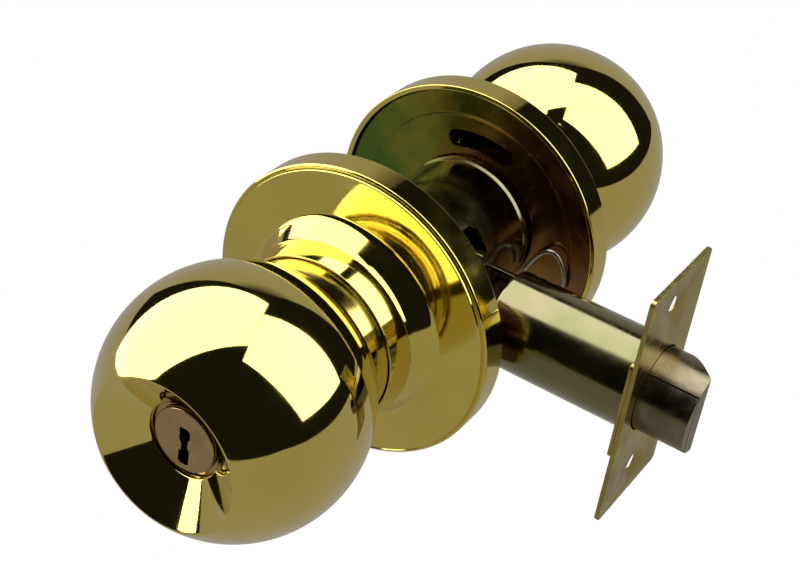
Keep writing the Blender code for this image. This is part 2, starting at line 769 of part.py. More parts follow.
def knob_catch(name, centre, parent, side):
    """Makes the leaf and peg inside a spindle that lock the knob's collar to it."""
    chord = math.sqrt(SPINDLE_BORE**2 - (CATCH_WIDTH / 2.0) ** 2)
    low = -chord + FIT
    level = centre - CATCH_PEG_INSET
    peg_end = SPINDLE_RADIUS + FIT + COLLAR_WALL
    ends = sorted((side * (level + 2.0 * CATCH_PEG_RADIUS), side * (level - CATCH_LENGTH)))
    leaf = box(name, (-CATCH_WIDTH / 2.0, ends[0], low), (CATCH_WIDTH / 2.0, ends[1], low + CATCH_WALL),
               SPRING, parent)
    peg = rod(f"{name}_peg", (0, side * level, low + CATCH_WALL / 2.0), (0, side * level, -peg_end),
              CATCH_PEG_RADIUS, PIN_STEPS, SPRING, parent)
    return join(leaf, peg)


def knob_set(prefix, centre, door_face, parent, side, turn):
    """Makes the pieces that both knobs have: shell, neck, spindle and catch."""
    knob_shell(f"{prefix}_knob_shell", centre, parent, turn)
    neck = knob_neck(f"{prefix}_knob_neck", centre, door_face + ROSE_HEIGHT, parent, turn)
    level = side * (centre - CATCH_PEG_INSET)
    reach = SPINDLE_RADIUS + 2.0 * COLLAR_WALL
    hole = rod(f"{prefix}_collar_hole", (0, level, 0), (0, level, -reach), CATCH_PEG_RADIUS + FIT, PIN_STEPS,
               BRASS, parent)
    cut(neck, hole)
    spindle(f"{prefix}_spindle", centre, parent, side, turn)
    knob_catch(f"{prefix}_knob_catch", centre, parent, side)


def retractor(parent):
    """Makes the sliding frame that the ears push and that pulls the latch tail."""
    half_width = RETRACTOR_HALF_WIDTH
    front = CROSSBAR_FACE + CROSSBAR_WALL
    frame = box("retractor", (-CHEEK_BACK, -half_width, -CHEEK_HALF_HEIGHT),
                (front, half_width, CHEEK_HALF_HEIGHT), ZINC, parent)
    inner = half_width - CHEEK_WALL
    reach = 2.0 * front
    well = box("retractor_well", (-reach, -inner, -reach), (CROSSBAR_FACE, inner, reach), ZINC, parent)
    bar_gap = BAR_SWEEP + FIT
    head_gap = TAIL_HEAD_HALF_HEIGHT + FIT
    slot_height = max(bar_gap, head_gap)
    slot = box("retractor_slot", (-bar_gap - FIT, -reach, -slot_height),
               (CROSSBAR_FACE, reach, slot_height), ZINC, parent)
    jaw_slot = box("retractor_jaw_slot", (CROSSBAR_FACE / 2.0, -reach, -TAIL_SLOT),
                   (reach, reach, TAIL_SLOT), ZINC, parent)
    cut(frame, well, slot, jaw_slot)
    for side_y in (1, -1):
        for side_z in (1, -1):
            across = sorted((side_y * (half_width - CHEEK_WALL / 2.0), side_y * (half_width + LUG_THICKNESS)))
            up = sorted((side_z * LUG_FOOT, side_z * LUG_TOP))
            lug = box(f"retractor_lug_{side_y + 1}{side_z + 1}", (LUG_FACE - LUG_WIDTH, across[0], up[0]),
                      (LUG_FACE, across[1], up[1]), ZINC, parent)
            join(frame, lug)
    return frame


def spring_seat():
    """Makes the plate in the drum's rear window that the retractor springs push against."""
    half_height = WINDOW_HALF_HEIGHT - FIT
    return box("retractor_spring_seat", (-SEAT_PLACE - SEAT_WALL, -SEAT_HALF_WIDTH, -half_height),
               (-SEAT_PLACE, SEAT_HALF_WIDTH, half_height), ZINC, None)


def retractor_springs():
    """Winds the two springs that return the retractor."""
    offset = TAIL_HEAD_HALF_HEIGHT + RETRACTOR_SPRING_RADIUS + RETRACTOR_WIRE_RADIUS + RUNNING_FIT
    for name, side in (("retractor_spring_upper", -1), ("retractor_spring_lower", 1)):
        coil(name, (side * offset, 0.0), -SEAT_PLACE, CROSSBAR_FACE, RETRACTOR_SPRING_RADIUS,
             RETRACTOR_WIRE_RADIUS, RETRACTOR_SPRING_TURNS, SPRING, None, ALONG_LATCH)


def latch_case():
    """Makes the latch's fixed pieces: tube, fork, backing plate and faceplate."""
    backing_level = LATCH_REACH - PLATE_THICKNESS - FIT - BACKING_THICKNESS
    front = backing_level - FIT
    tube("latch_tube", TUBE_RADIUS, TUBE_BORE, TUBE_START, front, ROUND_STEPS, ZINC, None, ALONG_LATCH)
    fork = rod("latch_fork", (FORK_BACK, 0, 0), (FORK_FACE, 0, 0), BOLT_RADIUS, ROUND_STEPS, ZINC, None)
    near = RETRACTOR_HALF_WIDTH + FIT
    for side in (1, -1):
        across = sorted((side * near, side * (near + PRONG_WALL)))
        low = (FORK_BACK - PRONG_LENGTH, across[0], -PRONG_HALF_HEIGHT)
        high = (FORK_FACE - FORK_WALL / 2.0, across[1], PRONG_HALF_HEIGHT)
        prong = box(f"latch_prong_{side + 1}", low, high, ZINC, None)
        join(fork, prong)
    half_width = TAIL_HALF_WIDTH + FIT
    slot = box("latch_fork_slot", (0.0, -half_width, -TAIL_SLOT), (2.0 * FORK_FACE, half_width, TAIL_SLOT),
               ZINC, None)
    cut(fork, slot)
    backing = latch_plate(BACKING_HEIGHT, BACKING_WIDTH)
    flat_piece("latch_backing_plate", backing, BACKING_THICKNESS, ZINC, None, ALONG_LATCH, backing_level)
    outlines = latch_plate(PLATE_HEIGHT, PLATE_WIDTH)
    for side in (1, -1):
        place = (side * SCREW_SPACING / 2.0, 0.0)
        outlines.append(circle_points(SCREW_HOLE_RADIUS, SMALL_STEPS // 2, place))
    face_level = LATCH_REACH - PLATE_THICKNESS
    faceplate = flat_piece("latch_faceplate", outlines, PLATE_THICKNESS, ZINC, None, ALONG_LATCH, face_level)
    depth = PLATE_THICKNESS - COUNTERSINK_LAND
    slope = (COUNTERSINK_RADIUS - SCREW_HOLE_RADIUS) / depth
    wide_end = COUNTERSINK_RADIUS + depth * slope
    for side in (1, -1):
        height = side * SCREW_SPACING / 2.0
        low = (LATCH_REACH - depth, 0, height)
        high = (LATCH_REACH + depth, 0, height)
        tool = rod(f"countersink_{side + 1}", low, high, SCREW_HOLE_RADIUS, SMALL_STEPS, ZINC, None, wide_end)
        cut(faceplate, tool)


def latch_plate(height, width):
    """Gives the outline of one of the two latch plates, and of its bolt hole."""
    outline = rounded_rectangle(height / 2.0, width / 2.0, PLATE_CORNER)
    return [outline, circle_points(BOLT_RADIUS + FIT, ROUND_STEPS)]


def latch_bolt(parent):
    """Makes the round bolt, bevelled on the side that meets the strike, and its tail."""
    bolt = rod("latch_bolt", (BOLT_BACK, 0, 0), (BOLT_TIP, 0, 0), BOLT_RADIUS, ROUND_STEPS, STEEL, parent)
    flat = -BOLT_RADIUS + PLUNGER_DEPTH + FIT
    reach = 2.0 * BOLT_RADIUS
    groove = box("bolt_plunger_flat", (0.0, -reach, -reach), (2.0 * BOLT_TIP, flat, reach), STEEL, parent)
    nose_edge = -BOLT_RADIUS + BOLT_NOSE_WIDTH
    foot = LATCH_REACH + BOLT_BEVEL_FOOT
    slope = math.atan2(BOLT_TIP - foot, BOLT_RADIUS - nose_edge)
    length = 2.0 * (BOLT_TIP - foot)
    bevel = box("bolt_bevel", (0.0, -length, -length), (length, length, length), STEEL, parent)
    bevel.location = (BOLT_TIP, nose_edge, 0.0)
    bevel.rotation_euler = (0.0, 0.0, slope)
    cut(bolt, groove, bevel)
    tail_tip = CROSSBAR_FACE - FIT - TAIL_HEAD_WALL
    half_wall = TAIL_WALL / 2.0
    tail = box("bolt_tail", (tail_tip, -TAIL_HALF_WIDTH, -half_wall),
               (BOLT_BACK - FIT, TAIL_HALF_WIDTH, half_wall), STEEL, parent)
    head = box("bolt_tail_head", (tail_tip, -TAIL_HALF_WIDTH, -TAIL_HEAD_HALF_HEIGHT),
               (tail_tip + TAIL_HEAD_WALL, TAIL_HALF_WIDTH, TAIL_HEAD_HALF_HEIGHT), STEEL, parent)
    join(tail, head)
    coil("bolt_spring", (0.0, 0.0), FORK_FACE, BOLT_BACK, BOLT_SPRING_RADIUS, BOLT_WIRE_RADIUS,
         BOLT_SPRING_TURNS, SPRING, None, ALONG_LATCH)


def deadlatch_plunger(parent):
    """Makes the plunger beside the bolt, a segment of the same round bar, and its spring."""
    plunger = rod("deadlatch_plunger", (PLUNGER_BACK, 0, 0), (BOLT_TIP, 0, 0), BOLT_RADIUS, ROUND_STEPS,
                  STEEL, parent)
    reach = 2.0 * BOLT_RADIUS
    rest = box("plunger_rest", (0.0, -BOLT_RADIUS + PLUNGER_DEPTH, -reach), (2.0 * BOLT_TIP, reach, reach),
               STEEL, parent)
    cut(plunger, rest)
    middle = -BOLT_RADIUS + PLUNGER_SPRING_RADIUS + 2.0 * PLUNGER_WIRE_RADIUS
    coil("plunger_spring", (0.0, middle), FORK_FACE, PLUNGER_BACK, PLUNGER_SPRING_RADIUS,
         PLUNGER_WIRE_RADIUS, PLUNGER_SPRING_TURNS, SPRING, None, ALONG_LATCH)


def chamber_levels():
    """Gives each pin chamber's distance from the latch axis, front chamber first."""
    first = BODY_FACE - CHAMBER_INSET
    return [first - CHAMBER_PITCH * index for index in range(CHAMBER_COUNT)]


def key_cylinder(parent):
    """Makes the cylinder body in the outside knob, with its drivers, their springs and the cover."""
    body = tube("key_cylinder_body", BODY_BORE + BODY_WALL, BODY_BORE, BODY_BACK, BODY_FACE, SMALL_STEPS,
                NICKEL, parent, OUTSIDE)
    bible_foot = BODY_BORE + BODY_WALL / 2.0
    bible = box("key_cylinder_bible", (-BIBLE_HALF_WIDTH, -BODY_FACE, bible_foot),
                (BIBLE_HALF_WIDTH, -BODY_BACK, BIBLE_TOP), NICKEL, parent)
    join(body, bible)
    driver_foot = PLUG_RADIUS + SHEAR_GAP
    for number, level in enumerate(chamber_levels(), 1):
        chamber = rod(f"body_chamber_{number}", (0, -level, 0), (0, -level, BIBLE_TOP + FIT), CHAMBER_RADIUS,
                      PIN_STEPS, NICKEL, parent)
        cut(body, chamber)
        driver_top = driver_foot + DRIVER_LENGTH
        rod(f"driver_pin_{number}", (0, -level, driver_foot), (0, -level, driver_top), PIN_RADIUS,
            PIN_STEPS, BRASS, parent)
        coil(f"pin_spring_{number}", (0.0, -level), driver_top, BIBLE_TOP,
             PIN_RADIUS - PIN_WIRE_RADIUS - FIT / 2.0, PIN_WIRE_RADIUS, PIN_SPRING_TURNS, SPRING, parent,
             UPRIGHT)
    box("chamber_cover", (-BIBLE_HALF_WIDTH, -BODY_FACE, BIBLE_TOP + FIT),
        (BIBLE_HALF_WIDTH, -BODY_BACK, BIBLE_TOP + FIT + COVER_WALL), NICKEL, parent)


def key_plug(parent):
    """Makes the plug with its keyway, its key pins, the retaining clip and the tailpiece."""
    groove_radius = PLUG_RADIUS - PLUG_GROOVE_DEPTH
    groove_high = BODY_BACK - FIT
    groove_low = groove_high - CLIP_WALL - FIT
    end_radius = PLUG_RADIUS - PLUG_GROOVE_DEPTH / 3.0
    head_foot = CYLINDER_FACE - PLUG_HEAD_HEIGHT
    end = groove_low - PLUG_END_HEIGHT
    profile = [
        (0.0, CYLINDER_FACE),
        (PLUG_HEAD_RADIUS, CYLINDER_FACE),
        (PLUG_HEAD_RADIUS, head_foot),
        (PLUG_RADIUS, head_foot),
        (PLUG_RADIUS, groove_high + FIT / 2.0),
        (groove_radius, groove_high + FIT / 2.0),
        (groove_radius, groove_low),
        (end_radius, groove_low),
        (end_radius, end),
        (0.0, end),
    ]
    plug = turned("key_plug", profile, SMALL_STEPS, NICKEL, parent, OUTSIDE, closed=False)
    keyway = box("keyway", (-KEYWAY_WIDTH / 2.0, -CYLINDER_FACE - FIT, -KEYWAY_BOTTOM),
                 (KEYWAY_WIDTH / 2.0, -end + FIT, KEYWAY_TOP), NICKEL, parent)
    cut(plug, keyway)
    pin_top = math.sqrt(PLUG_RADIUS**2 - PIN_RADIUS**2) - FIT / 2.0
    for number, level in enumerate(chamber_levels(), 1):
        chamber = rod(f"plug_chamber_{number}", (0, -level, -CHAMBER_FLOOR), (0, -level, 2.0 * PLUG_RADIUS),
                      CHAMBER_RADIUS, PIN_STEPS, NICKEL, parent)
        cut(plug, chamber)
        foot = pin_top - KEY_PIN_SHORTEST - KEY_PIN_STEP * ((number * 2) % CHAMBER_COUNT)
        pin = rod(f"key_pin_{number}", (0, -level, foot + PIN_TIP), (0, -level, pin_top), PIN_RADIUS,
                  PIN_STEPS, BRASS, parent)
        tip_top = foot + 1.5 * PIN_TIP
        tip = rod(f"key_pin_tip_{number}", (0, -level, foot), (0, -level, tip_top), PIN_RADIUS / 3.0,
                  PIN_STEPS, BRASS, parent, PIN_RADIUS - FIT / 4.0)
        join(pin, tip)
    clip_bore = groove_radius + FIT
    clip_low = groove_low + FIT / 2.0
    clip = tube("plug_clip", clip_bore + CLIP_OVERLAP + CLIP_WALL, clip_bore, clip_low, clip_low + CLIP_WALL,
                SMALL_STEPS, SPRING, parent, OUTSIDE)
    mouth = box("plug_clip_mouth", (-groove_radius / 2.0, -BODY_BACK, -2.0 * PLUG_RADIUS),
                (groove_radius / 2.0, -end, 0.0), SPRING, parent)
    cut(clip, mouth)
    disc_high = end - FIT
    disc_low = disc_high - TAILPIECE_DISC_WALL
    disc = rod("key_tailpiece", (0, -disc_low, 0), (0, -disc_high, 0), TAILPIECE_DISC_RADIUS, SMALL_STEPS,
               STEEL, parent)
    disc_middle = (disc_low + disc_high) / 2.0
    blade = box("key_tailpiece_blade", (-TAILPIECE_WIDTH / 2.0, -disc_middle, -TAILPIECE_WALL / 2.0),
                (TAILPIECE_WIDTH / 2.0, -TAILPIECE_END, TAILPIECE_WALL / 2.0), STEEL, parent)
    join(disc, blade)


def turn_button(parent):
    """Makes the inside turn button, its stem, the locking bar and the locking dog."""
    floor_level = INSIDE_BALL_CENTRE + DISH_RIM_RISE - DISH_DEPTH
    face = floor_level + BUTTON_PROUD
    back = face - BUTTON_WALL
    guide_foot = INSIDE_BALL_CENTRE - SPINDLE_END_INSET + FIT
    stem_end = guide_foot + FIT
    profile = [
        (0.0, face),
        (BUTTON_RADIUS, face),
        (BUTTON_RADIUS, back),
        (STEM_RADIUS, back),
        (STEM_RADIUS, stem_end),
        (0.0, stem_end),
    ]
    button = turned("turn_button", profile, SMALL_STEPS, BRASS, parent, INSIDE, closed=False)
    thumb = box("turn_button_thumb", (-THUMB_WALL / 2.0, face - BUTTON_WALL / 2.0, -THUMB_WIDTH / 2.0),
                (THUMB_WALL / 2.0, face + THUMB_HEIGHT, THUMB_WIDTH / 2.0), BRASS, parent, THUMB_EDGE)
    join(button, thumb)
    box("locking_bar", (-BAR_WIDTH / 2.0, -BAR_END, -BAR_WALL / 2.0),
        (BAR_WIDTH / 2.0, stem_end - FIT, BAR_WALL / 2.0), STEEL, parent)
    half_width = math.sqrt(SPINDLE_BORE**2 - DOG_HALF_HEIGHT**2) - RUNNING_FIT
    dog = box("locking_dog", (-half_width, -DOG_PLACE - DOG_WALL, -DOG_HALF_HEIGHT),
              (half_width, -DOG_PLACE, DOG_HALF_HEIGHT), STEEL, parent)
    eye_x = BAR_WIDTH / 2.0 + FIT
    eye_z = BAR_WALL / 2.0 + FIT
    eye = box("locking_dog_eye", (-eye_x, -DOG_PLACE - 2.0 * DOG_WALL, -eye_z),
              (eye_x, -DOG_PLACE + DOG_WALL, eye_z), STEEL, parent)
    cut(dog, eye)
    return back


def button_guide(button_back, parent):
    """Turns the guide that carries the button's stem, seated on the end of the inside spindle."""
    foot = INSIDE_BALL_CENTRE - SPINDLE_END_INSET + FIT
    bore = STEM_RADIUS + FIT
    sleeve = bore + GUIDE_WALL
    top = button_back - FIT
    profile = [
        (sleeve, top),
        (sleeve, foot + GUIDE_FLANGE),
        (SPINDLE_RADIUS, foot + GUIDE_FLANGE),
        (SPINDLE_RADIUS, foot),
        (bore, foot),
        (bore, top),
    ]
    return turned("button_guide", profile, SMALL_STEPS, DARK_ZINC, parent, INSIDE)


def main():
    """Builds the lockset group by group."""
    outside_knob_axis = axis_empty("outside_knob_axis")
    key_plug_axis = axis_empty("key_plug_axis", outside_knob_axis)
    inside_knob_axis = axis_empty("inside_knob_axis")
    turn_button_axis = axis_empty("turn_button_axis", inside_knob_axis)
    retractor_slide = axis_empty("retractor_slide")
    bolt_slide = axis_empty("bolt_slide")
    plunger_slide = axis_empty("plunger_slide", bolt_slide)

    chassis_drum()
    hub("outside_hub", DRUM_OUTSIDE_END, OUTSIDE_HUB_LENGTH, OUTSIDE)
    hub("inside_hub", DRUM_INSIDE_END, INSIDE_HUB_LENGTH, INSIDE)
    rose("outside_rose", OUTSIDE_DOOR_FACE, OUTSIDE)
    rose("inside_rose", INSIDE_DOOR_FACE, INSIDE)
    bossed_plate("outside_rose_plate", OUTSIDE_DOOR_FACE, OUTSIDE)
    slotted_plate("inside_rose_plate", INSIDE_DOOR_FACE, INSIDE)
    adjusting_nut()
    rose_clip()
    spring_seat()
    retractor(retractor_slide)
    retractor_springs()

    knob_set("outside", OUTSIDE_BALL_CENTRE, OUTSIDE_DOOR_FACE, outside_knob_axis, -1, OUTSIDE)
    knob_set("inside", INSIDE_BALL_CENTRE, INSIDE_DOOR_FACE, inside_knob_axis, 1, INSIDE)
    key_cylinder(outside_knob_axis)
    key_plug(key_plug_axis)
    button_back = turn_button(turn_button_axis)
    button_guide(button_back, inside_knob_axis)

    latch_case()
    latch_bolt(bolt_slide)
    deadlatch_plunger(plunger_slide)


main()
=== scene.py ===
"""Keyed entry lockset: the finished surfaces, the studio and the camera.

The knobs' axis is Y, with the keyed knob towards -Y. The latch points along +X and +Z is up. Sizes in the
classes are millimetres, and a piece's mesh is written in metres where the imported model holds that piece.
"""

from __future__ import annotations

import json
import logging
import math
from collections.abc import Sequence
from dataclasses import dataclass, field
from enum import Enum

import bmesh
import bpy
from bpy.types import Curve, Material, Mesh, Node, NodeSocket, NodeTree, Object
from mathutils import Matrix, Vector

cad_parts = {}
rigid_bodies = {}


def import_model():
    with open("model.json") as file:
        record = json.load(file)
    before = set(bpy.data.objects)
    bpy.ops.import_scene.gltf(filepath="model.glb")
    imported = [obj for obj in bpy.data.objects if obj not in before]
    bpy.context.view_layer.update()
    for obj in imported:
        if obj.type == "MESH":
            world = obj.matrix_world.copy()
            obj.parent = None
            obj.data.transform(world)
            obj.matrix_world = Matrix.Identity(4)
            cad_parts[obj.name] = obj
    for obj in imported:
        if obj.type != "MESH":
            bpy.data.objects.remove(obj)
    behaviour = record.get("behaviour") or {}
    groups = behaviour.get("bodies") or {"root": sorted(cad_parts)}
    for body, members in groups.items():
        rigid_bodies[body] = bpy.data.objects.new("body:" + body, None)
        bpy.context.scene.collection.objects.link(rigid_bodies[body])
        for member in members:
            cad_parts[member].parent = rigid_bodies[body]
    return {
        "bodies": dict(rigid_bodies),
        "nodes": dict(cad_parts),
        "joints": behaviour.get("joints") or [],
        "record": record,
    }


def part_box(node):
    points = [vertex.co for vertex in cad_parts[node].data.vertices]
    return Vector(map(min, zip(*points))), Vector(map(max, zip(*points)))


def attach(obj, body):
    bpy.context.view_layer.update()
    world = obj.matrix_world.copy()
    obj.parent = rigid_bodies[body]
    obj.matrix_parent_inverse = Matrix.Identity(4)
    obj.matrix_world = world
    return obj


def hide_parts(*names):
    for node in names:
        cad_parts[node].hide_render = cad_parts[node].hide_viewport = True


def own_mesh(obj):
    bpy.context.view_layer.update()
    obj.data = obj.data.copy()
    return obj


LOG = logging.getLogger("lockset")
MM = 0.001
FULL_TURN = 2.0 * math.pi
QUARTER_TURN = math.pi / 2.0
BALL_STEPS = 256
FINE_STEPS = 192
ROUND_STEPS = 128
SMALL_STEPS = 64
PIN_STEPS = 32
MERGE_GAP = 1e-7
COPY_GAP = 1e-6
SUPPORT = 0.12
# The share of an outline's run that one round may take, where the next corner is round or sharp
SHARED_RUN, WHOLE_RUN = 0.49, 0.98
# The least tangent of half a corner's angle, so that a needle's point gets no endless round
LEAST_TANGENT = 0.05
CLEAR = 0.3
HUB_RADIUS = 15.5
SHARP_ANGLE = math.radians(32.0)
BEVEL_ANGLE = math.radians(35.0)
FLAT_ANGLE = math.radians(1.0)
THREAD_ANGLE = math.radians(60.0)

# A point of an outline: radius and level
Point = tuple[float, float]
# A corner of an outline: radius, level and the radius that rounds it, or zero
Corner = tuple[float, float, float]
# What a node's inputs are given: a value, an output socket, or a node whose first output feeds it
Inputs = dict[str | int, object]


class Axis(Enum):
    """The way along which a turned piece's level grows."""

    OUTSIDE = "towards the keyed knob"
    INSIDE = "towards the button knob"
    LATCH = "towards the bolt"

    @property
    def side(self) -> float:
        """The sign of Y on which the level grows."""
        return -1.0 if self is Axis.OUTSIDE else 1.0

    def place(self, radius: float, level: float, angle: float) -> Vector:
        """Gives the point at a radius and level in millimetres and an angle in radians, in metres."""
        across = radius * math.cos(angle)
        up = radius * math.sin(angle)
        if self is Axis.LATCH:
            return Vector((level, across, up)) * MM
        return Vector((across, self.side * level, up)) * MM

    def span(self, node: str) -> Point:
        """Gives a node's lowest and highest level along this axis, in millimetres."""
        low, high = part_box(node)
        if self is Axis.LATCH:
            return low.x / MM, high.x / MM
        if self is Axis.INSIDE:
            return low.y / MM, high.y / MM
        return -high.y / MM, -low.y / MM


class Slot(Enum):
    """The record's material slots."""

    BRASS = "polished_brass"
    ZINC = "zinc_yellow_steel"
    DARK_ZINC = "dark_zinc_steel"
    STEEL = "plain_steel"
    NICKEL = "nickel_brass"
    SPRING = "spring_steel"


class Marks(Enum):
    """The marks that a metal's making left on it."""

    RINGS = "turned or polished round the knobs' axis"
    DRAWN = "drawn along the latch"
    ROLLED = "rolled sheet, with its grain upright"


def linear(code: str) -> tuple[float, float, float, float]:
    """Turns an sRGB hex code to a linear colour.

    Args:
        code: Six hex digits after a hash.

    Returns:
        Red, green, blue and an alpha of one.
    """
    parts = [int(code[start : start + 2], 16) / 255.0 for start in (1, 3, 5)]
    red, green, blue = (p / 12.92 if p <= 0.04045 else ((p + 0.055) / 1.055) ** 2.4 for p in parts)
    return red, green, blue, 1.0


def add_node(tree: NodeTree, kind: str, inputs: Inputs | None = None, **settings: object) -> Node:
    """Adds a node with its settings and links.

    Args:
        tree: The node tree.
        kind: Blender's name for the node.
        inputs: What its inputs are given, by name or place.
        **settings: Properties to set on the node.

    Returns:
        The new node.
    """
    node = tree.nodes.new(kind)
    for key, value in settings.items():
        setattr(node, key, value)
    for key, value in (inputs or {}).items():
        source = value.outputs[0] if isinstance(value, Node) else value
        if isinstance(source, NodeSocket):
            tree.links.new(source, node.inputs[key])
        else:
            node.inputs[key].default_value = source
    return node


def sum_node(tree: NodeTree, operation: str, *values: object) -> Node:
    """Adds a sum over values, sockets or nodes."""
    return add_node(tree, "ShaderNodeMath", dict(enumerate(values)), operation=operation)


def noise_node(tree: NodeTree, place: object, size: float, **inputs: float) -> Node:
    """Adds noise whose features are so many millimetres across."""
    return add_node(tree, "ShaderNodeTexNoise", {"Vector": place, "Scale": 1.0 / (size * MM), **inputs})


def range_node(tree: NodeTree, value: object, ends: Sequence[object], levels: Point = (0.0, 1.0)) -> Node:
    """Maps a value between two ends to a range between two levels, and holds it beyond them."""
    limits = zip(("From Min", "From Max", "To Min", "To Max"), (*ends, *levels))
    return add_node(tree, "ShaderNodeMapRange", {"Value": value, **dict(limits)})


@dataclass(frozen=True)
class MetalFinish:
    """A metal surface: its colours, its gloss and the marks of its making, with sizes in millimetres.

    The colours are spread over soft patches of one size, the roughness over smears of another. A drift is
    the length along X over which the colours run from the first to the last, as a film's do in its bath.
    The slot names the record's material slot; nothing here reads it.
    """

    name: str
    colours: tuple[str, ...]
    marks: Marks
    slot: Slot
    patch: float
    roughness: Point
    smear: float
    spacing: float
    depth: float = 0.004
    contrast: float = 0.5
    coat: float = 0.0
    drift: float = 0.0

    def build(self) -> Material:
        """Builds the material's nodes and returns it."""
        material = bpy.data.materials.new(self.name)
        material.use_nodes = True
        tree = material.node_tree
        place = add_node(tree, "ShaderNodeTexCoord").outputs["Object"]
        shader = tree.nodes["Principled BSDF"].inputs
        shader["Metallic"].default_value = 1.0
        shader["Coat Weight"].default_value = self.coat
        shader["Coat Roughness"].default_value = self.roughness[0]
        tree.links.new(self.colour(tree, place).outputs[0], shader["Base Color"])
        smears = noise_node(tree, place, self.smear, Detail=4.0, Distortion=0.6)
        gloss = range_node(tree, smears, (0.35, 0.7), self.roughness)
        tree.links.new(gloss.outputs[0], shader["Roughness"])
        grain = noise_node(tree, self.grain_place(tree, place), self.spacing, Detail=2.0)
        relief = {"Height": grain, "Strength": 1.0, "Distance": self.depth * MM}
        tree.links.new(add_node(tree, "ShaderNodeBump", relief).outputs[0], shader["Normal"])
        return material

    def colour(self, tree: NodeTree, place: NodeSocket) -> Node:
        """Spreads the colours over soft patches, and along X where they drift."""
        amount = noise_node(tree, place, self.patch, Detail=3.0, Roughness=0.55)
        if self.drift:
            along = add_node(tree, "ShaderNodeSeparateXYZ", {"Vector": place})
            amount = sum_node(tree, "MULTIPLY_ADD", along, 1.0 / (self.drift * MM), amount)
        ramp = add_node(tree, "ShaderNodeValToRGB", {"Fac": amount})
        stops = ramp.color_ramp.elements
        low = 0.5 - self.contrast / 2.0
        step = self.contrast / (len(self.colours) - 1)
        while len(stops) < len(self.colours):
            stops.new(0.5)
        for index, code in enumerate(self.colours):
            stops[index].position = low + step * index
            stops[index].color = linear(code)
        return ramp

    def grain_place(self, tree: NodeTree, place: NodeSocket) -> Node:
        """Gives coordinates that hardly change along the marks."""
        along = 0.02
        if self.marks is not Marks.RINGS:
            scale = (along, 1.0, 1.0) if self.marks is Marks.DRAWN else (1.0, 1.0, along)
            return add_node(tree, "ShaderNodeMapping", {"Vector": place, "Scale": scale})
        parts = add_node(tree, "ShaderNodeSeparateXYZ", {"Vector": place}).outputs
        flat = add_node(tree, "ShaderNodeCombineXYZ", {"X": parts["X"], "Y": parts["Z"]})
        radius = add_node(tree, "ShaderNodeVectorMath", {0: flat}, operation="LENGTH").outputs["Value"]
        return add_node(tree, "ShaderNodeCombineXYZ", {"X": radius, "Y": parts["Y"]})


# Brass shell pressed and buffed to a mirror, then lacquered: clear reflections, paler where lamps shine
MIRROR_BRASS = MetalFinish(
    "buffed_lacquered_brass", ("#DCC864", "#E4D26A", "#E6D473"), Marks.RINGS, Slot.BRASS,
    patch=22.0, roughness=(0.035, 0.075), smear=9.0, spacing=1.6, coat=1.0,
)  # fmt: skip
# Spun brass of the roses and necks, buffed a little less: soft edges to its reflections
SPUN_BRASS = MetalFinish(
    "spun_buffed_brass", ("#DAC460", "#E4D066", "#E8D46A"), Marks.RINGS, Slot.BRASS,
    patch=18.0, roughness=(0.05, 0.1), smear=7.0, spacing=0.9, coat=0.7,
)  # fmt: skip
# Turned brass of the tumblers, bright and unlacquered, with tool rings
TURNED_BRASS = MetalFinish(
    "turned_brass", ("#C9A24E", "#D8B45C"), Marks.RINGS, Slot.BRASS,
    patch=2.0, roughness=(0.18, 0.3), smear=1.5, spacing=0.25,
)  # fmt: skip
# Bright yellow zinc plate on steel tube and sheet: olive yellow with faint pink and green clouds
YELLOW_ZINC = MetalFinish(
    "yellow_zinc_plated_steel", ("#666C3A", "#757346", "#7F7652", "#85785C"), Marks.DRAWN, Slot.ZINC,
    patch=11.0, roughness=(0.12, 0.22), smear=5.0, spacing=0.5, depth=0.006, coat=1.0,
)  # fmt: skip
# The same plate on the stamped latch plates, whose rolled grain stands upright
STAMPED_ZINC = MetalFinish(
    "stamped_yellow_zinc_steel", ("#9C8F4C", "#B2A258", "#BEAB64"), Marks.ROLLED, Slot.ZINC,
    patch=7.0, roughness=(0.2, 0.34), smear=4.0, spacing=0.4, depth=0.006, contrast=0.4,
)  # fmt: skip
# Thick chromate inside the roses and on the works, where its film turns green, gold and red-brown
CHROMATE = MetalFinish(
    "iridescent_chromate_steel", ("#5E7A34", "#8A8A38", "#9A8038", "#947040", "#8C6448"), Marks.RINGS,
    Slot.DARK_ZINC, patch=22.0, roughness=(0.16, 0.3), smear=4.0, spacing=0.6, depth=0.008,
    contrast=0.6, drift=90.0,
)  # fmt: skip
# Nickel plate over the sintered steel bolt: warm grey with fine lengthwise lines
NICKEL_STEEL = MetalFinish(
    "nickel_plated_steel", ("#6E6650", "#7E7560", "#8C8470"), Marks.DRAWN, Slot.STEEL,
    patch=6.0, roughness=(0.2, 0.32), smear=3.0, spacing=0.35, depth=0.006, contrast=0.4,
)  # fmt: skip
# Satin nickel over the turned brass plug: the brass lends it a pink cast, and the face shows tool rings
SATIN_NICKEL = MetalFinish(
    "satin_nickel_brass", ("#B0966C", "#C4A87C"), Marks.RINGS, Slot.NICKEL,
    patch=3.0, roughness=(0.14, 0.22), smear=2.0, spacing=0.3, depth=0.008,
)  # fmt: skip
# Drawn spring wire, oiled: dull grey with bright flanks
DRAWN_WIRE = MetalFinish(
    "drawn_spring_wire", ("#8C877C", "#B8B2A4"), Marks.DRAWN, Slot.SPRING,
    patch=2.0, roughness=(0.22, 0.36), smear=2.0, spacing=0.2,
)  # fmt: skip


